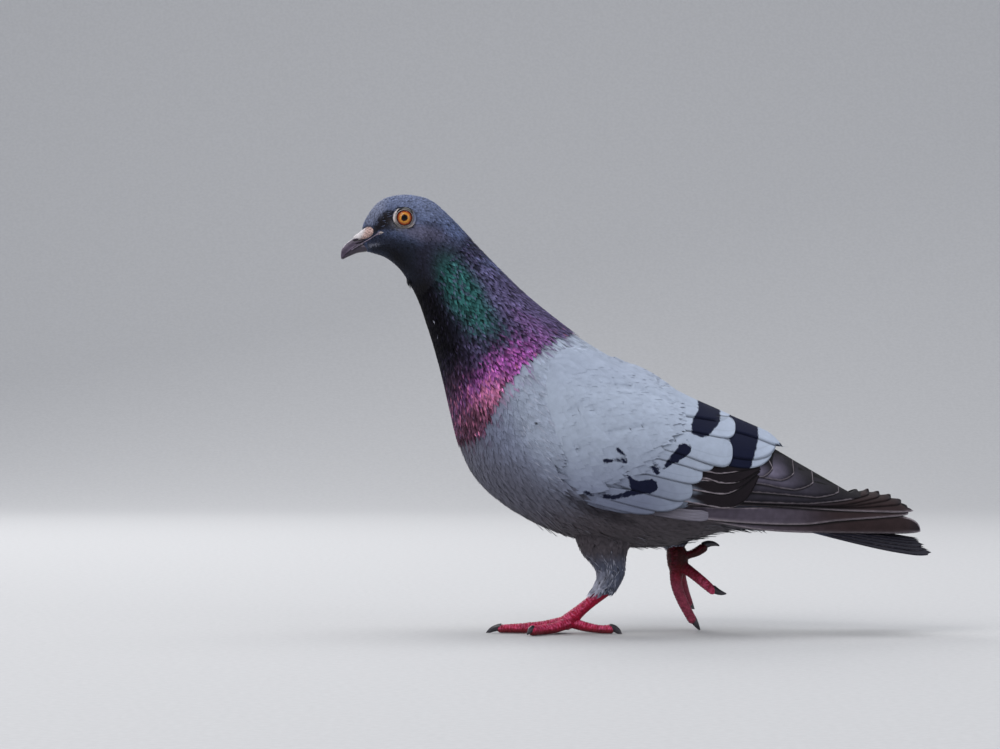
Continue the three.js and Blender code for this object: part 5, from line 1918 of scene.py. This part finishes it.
# -------------------- stage
def lamp(name, place, aim, size, power, rgb=(1, 1, 1)):
    """A square soft light at place, turned to aim."""
    data = bpy.data.lights.new(name, "AREA")
    data.size = size
    data.energy = power
    data.color = rgb
    obj = bpy.data.objects.new(name, data)
    obj.location = place
    obj.rotation_euler = (Vector(aim) - Vector(place)).to_track_quat("-Z", "Y").to_euler()
    bpy.context.collection.objects.link(obj)


class PIGEON_OT_stage(bpy.types.Operator):
    """Set the camera, the soft lights and a pale floor that sweeps up behind"""

    bl_idname = "pigeon.stage"
    bl_label = "Stage"

    def execute(self, context):
        scene = context.scene
        data = bpy.data.cameras.new("camera")
        data.lens = 135
        data.sensor_width = 36
        camera = bpy.data.objects.new("camera", data)
        camera.location = lift_into_frame([SEEN_X, -SEEN_FAR, SEEN_Z])
        camera.rotation_euler = (math.pi / 2, 0, 0)
        context.collection.objects.link(camera)
        scene.camera = camera
        # floor: flat to 1.6 m behind, then a quarter circle of 1.2 m and a straight rise
        turn = np.linspace(0, np.pi / 2, 24)
        run = np.concatenate([[-4.0, -1.0, 0.6], 1.6 + 1.2 * np.sin(turn), [2.8]])
        rise = np.concatenate([[0.0, 0.0, 0.0], 1.2 - 1.2 * np.cos(turn), [4.0]]) - 0.0002
        x, at = np.meshgrid(np.linspace(-4, 4, 9), np.arange(len(run)), indexing="xy")
        points = np.stack([x, run[at], rise[at]], -1) / MM - lift_into_frame([0, 0, 0]) / MM
        floor = make_mesh("floor", points, grid_faces(len(run), 9))
        mat, bsdf = new_material("pale_floor", 0.85, 0.2)
        shade = ramp(mat, patchy(mat, 300, 3), [(0, (0.50, 0.50, 0.505)), (1, (0.53, 0.53, 0.535))])
        link(mat, shade, bsdf.inputs["Base Color"])
        floor.data.materials.append(mat)
        world = bpy.data.worlds.new("studio")
        world.use_nodes = True
        preset(world.node_tree.nodes["Background"], Color=(0.80, 0.86, 1.0, 1), Strength=0.42)
        scene.world = world
        aim = (-0.02, 0, 0.1)
        lamp("key", (-1.3, -1.5, 1.9), aim, 1.6, 34, (1, 0.98, 0.95))
        lamp("top", (0.3, 0.5, 2.2), aim, 2.0, 30)
        lamp("fill", (1.6, -1.4, 0.7), aim, 1.6, 9, (0.95, 0.97, 1))
        lamp("rim", (-0.7, 1.3, 1.1), aim, 0.9, 12)
        scene.view_settings.view_transform = "Standard"
        return {"FINISHED"}


# -------------------- panel and run
STEPS = (
    PIGEON_OT_stage, PIGEON_OT_skin, PIGEON_OT_head_coat, PIGEON_OT_neck_coat, PIGEON_OT_trunk_coat,
    PIGEON_OT_thigh_coat, PIGEON_OT_wing_coverts, PIGEON_OT_flight_feathers, PIGEON_OT_tail, PIGEON_OT_eyes,
    PIGEON_OT_eyelids, PIGEON_OT_bill, PIGEON_OT_cere, PIGEON_OT_claws,
)
GROUPS = {
    "pigeon_plumage": PigeonPlumage,
    "pigeon_bare": PigeonBareParts,
    "pigeon_feathering": PigeonFeathering,
}


class PIGEON_PT_panel(bpy.types.Panel):
    """Lists the pigeon's settings and the steps that build it"""

    bl_idname = "PIGEON_PT_panel"
    bl_label = "Rock pigeon"
    bl_space_type = "VIEW_3D"
    bl_region_type = "UI"
    bl_category = "Pigeon"

    def draw(self, context):
        for step in STEPS:
            self.layout.operator(step.bl_idname)
        for name, group in GROUPS.items():
            box = self.layout.box()
            for key in group.__annotations__:
                box.prop(getattr(context.scene, name), key)


CLASSES = (*GROUPS.values(), *STEPS, PIGEON_PT_panel)


def register():
    """Adds the classes and the settings."""
    for cls in CLASSES:
        bpy.utils.register_class(cls)
    for name, group in GROUPS.items():
        setattr(bpy.types.Scene, name, PointerProperty(type=group))


def unregister():
    """Takes the settings and the classes away again."""
    for name in GROUPS:
        delattr(bpy.types.Scene, name)
    for cls in reversed(CLASSES):
        bpy.utils.unregister_class(cls)


def main():
    """Runs every step in order."""
    register()
    for step in STEPS:
        area, name = step.bl_idname.split(".")
        getattr(getattr(bpy.ops, area), name)()


if __name__ == "__main__":
    main()
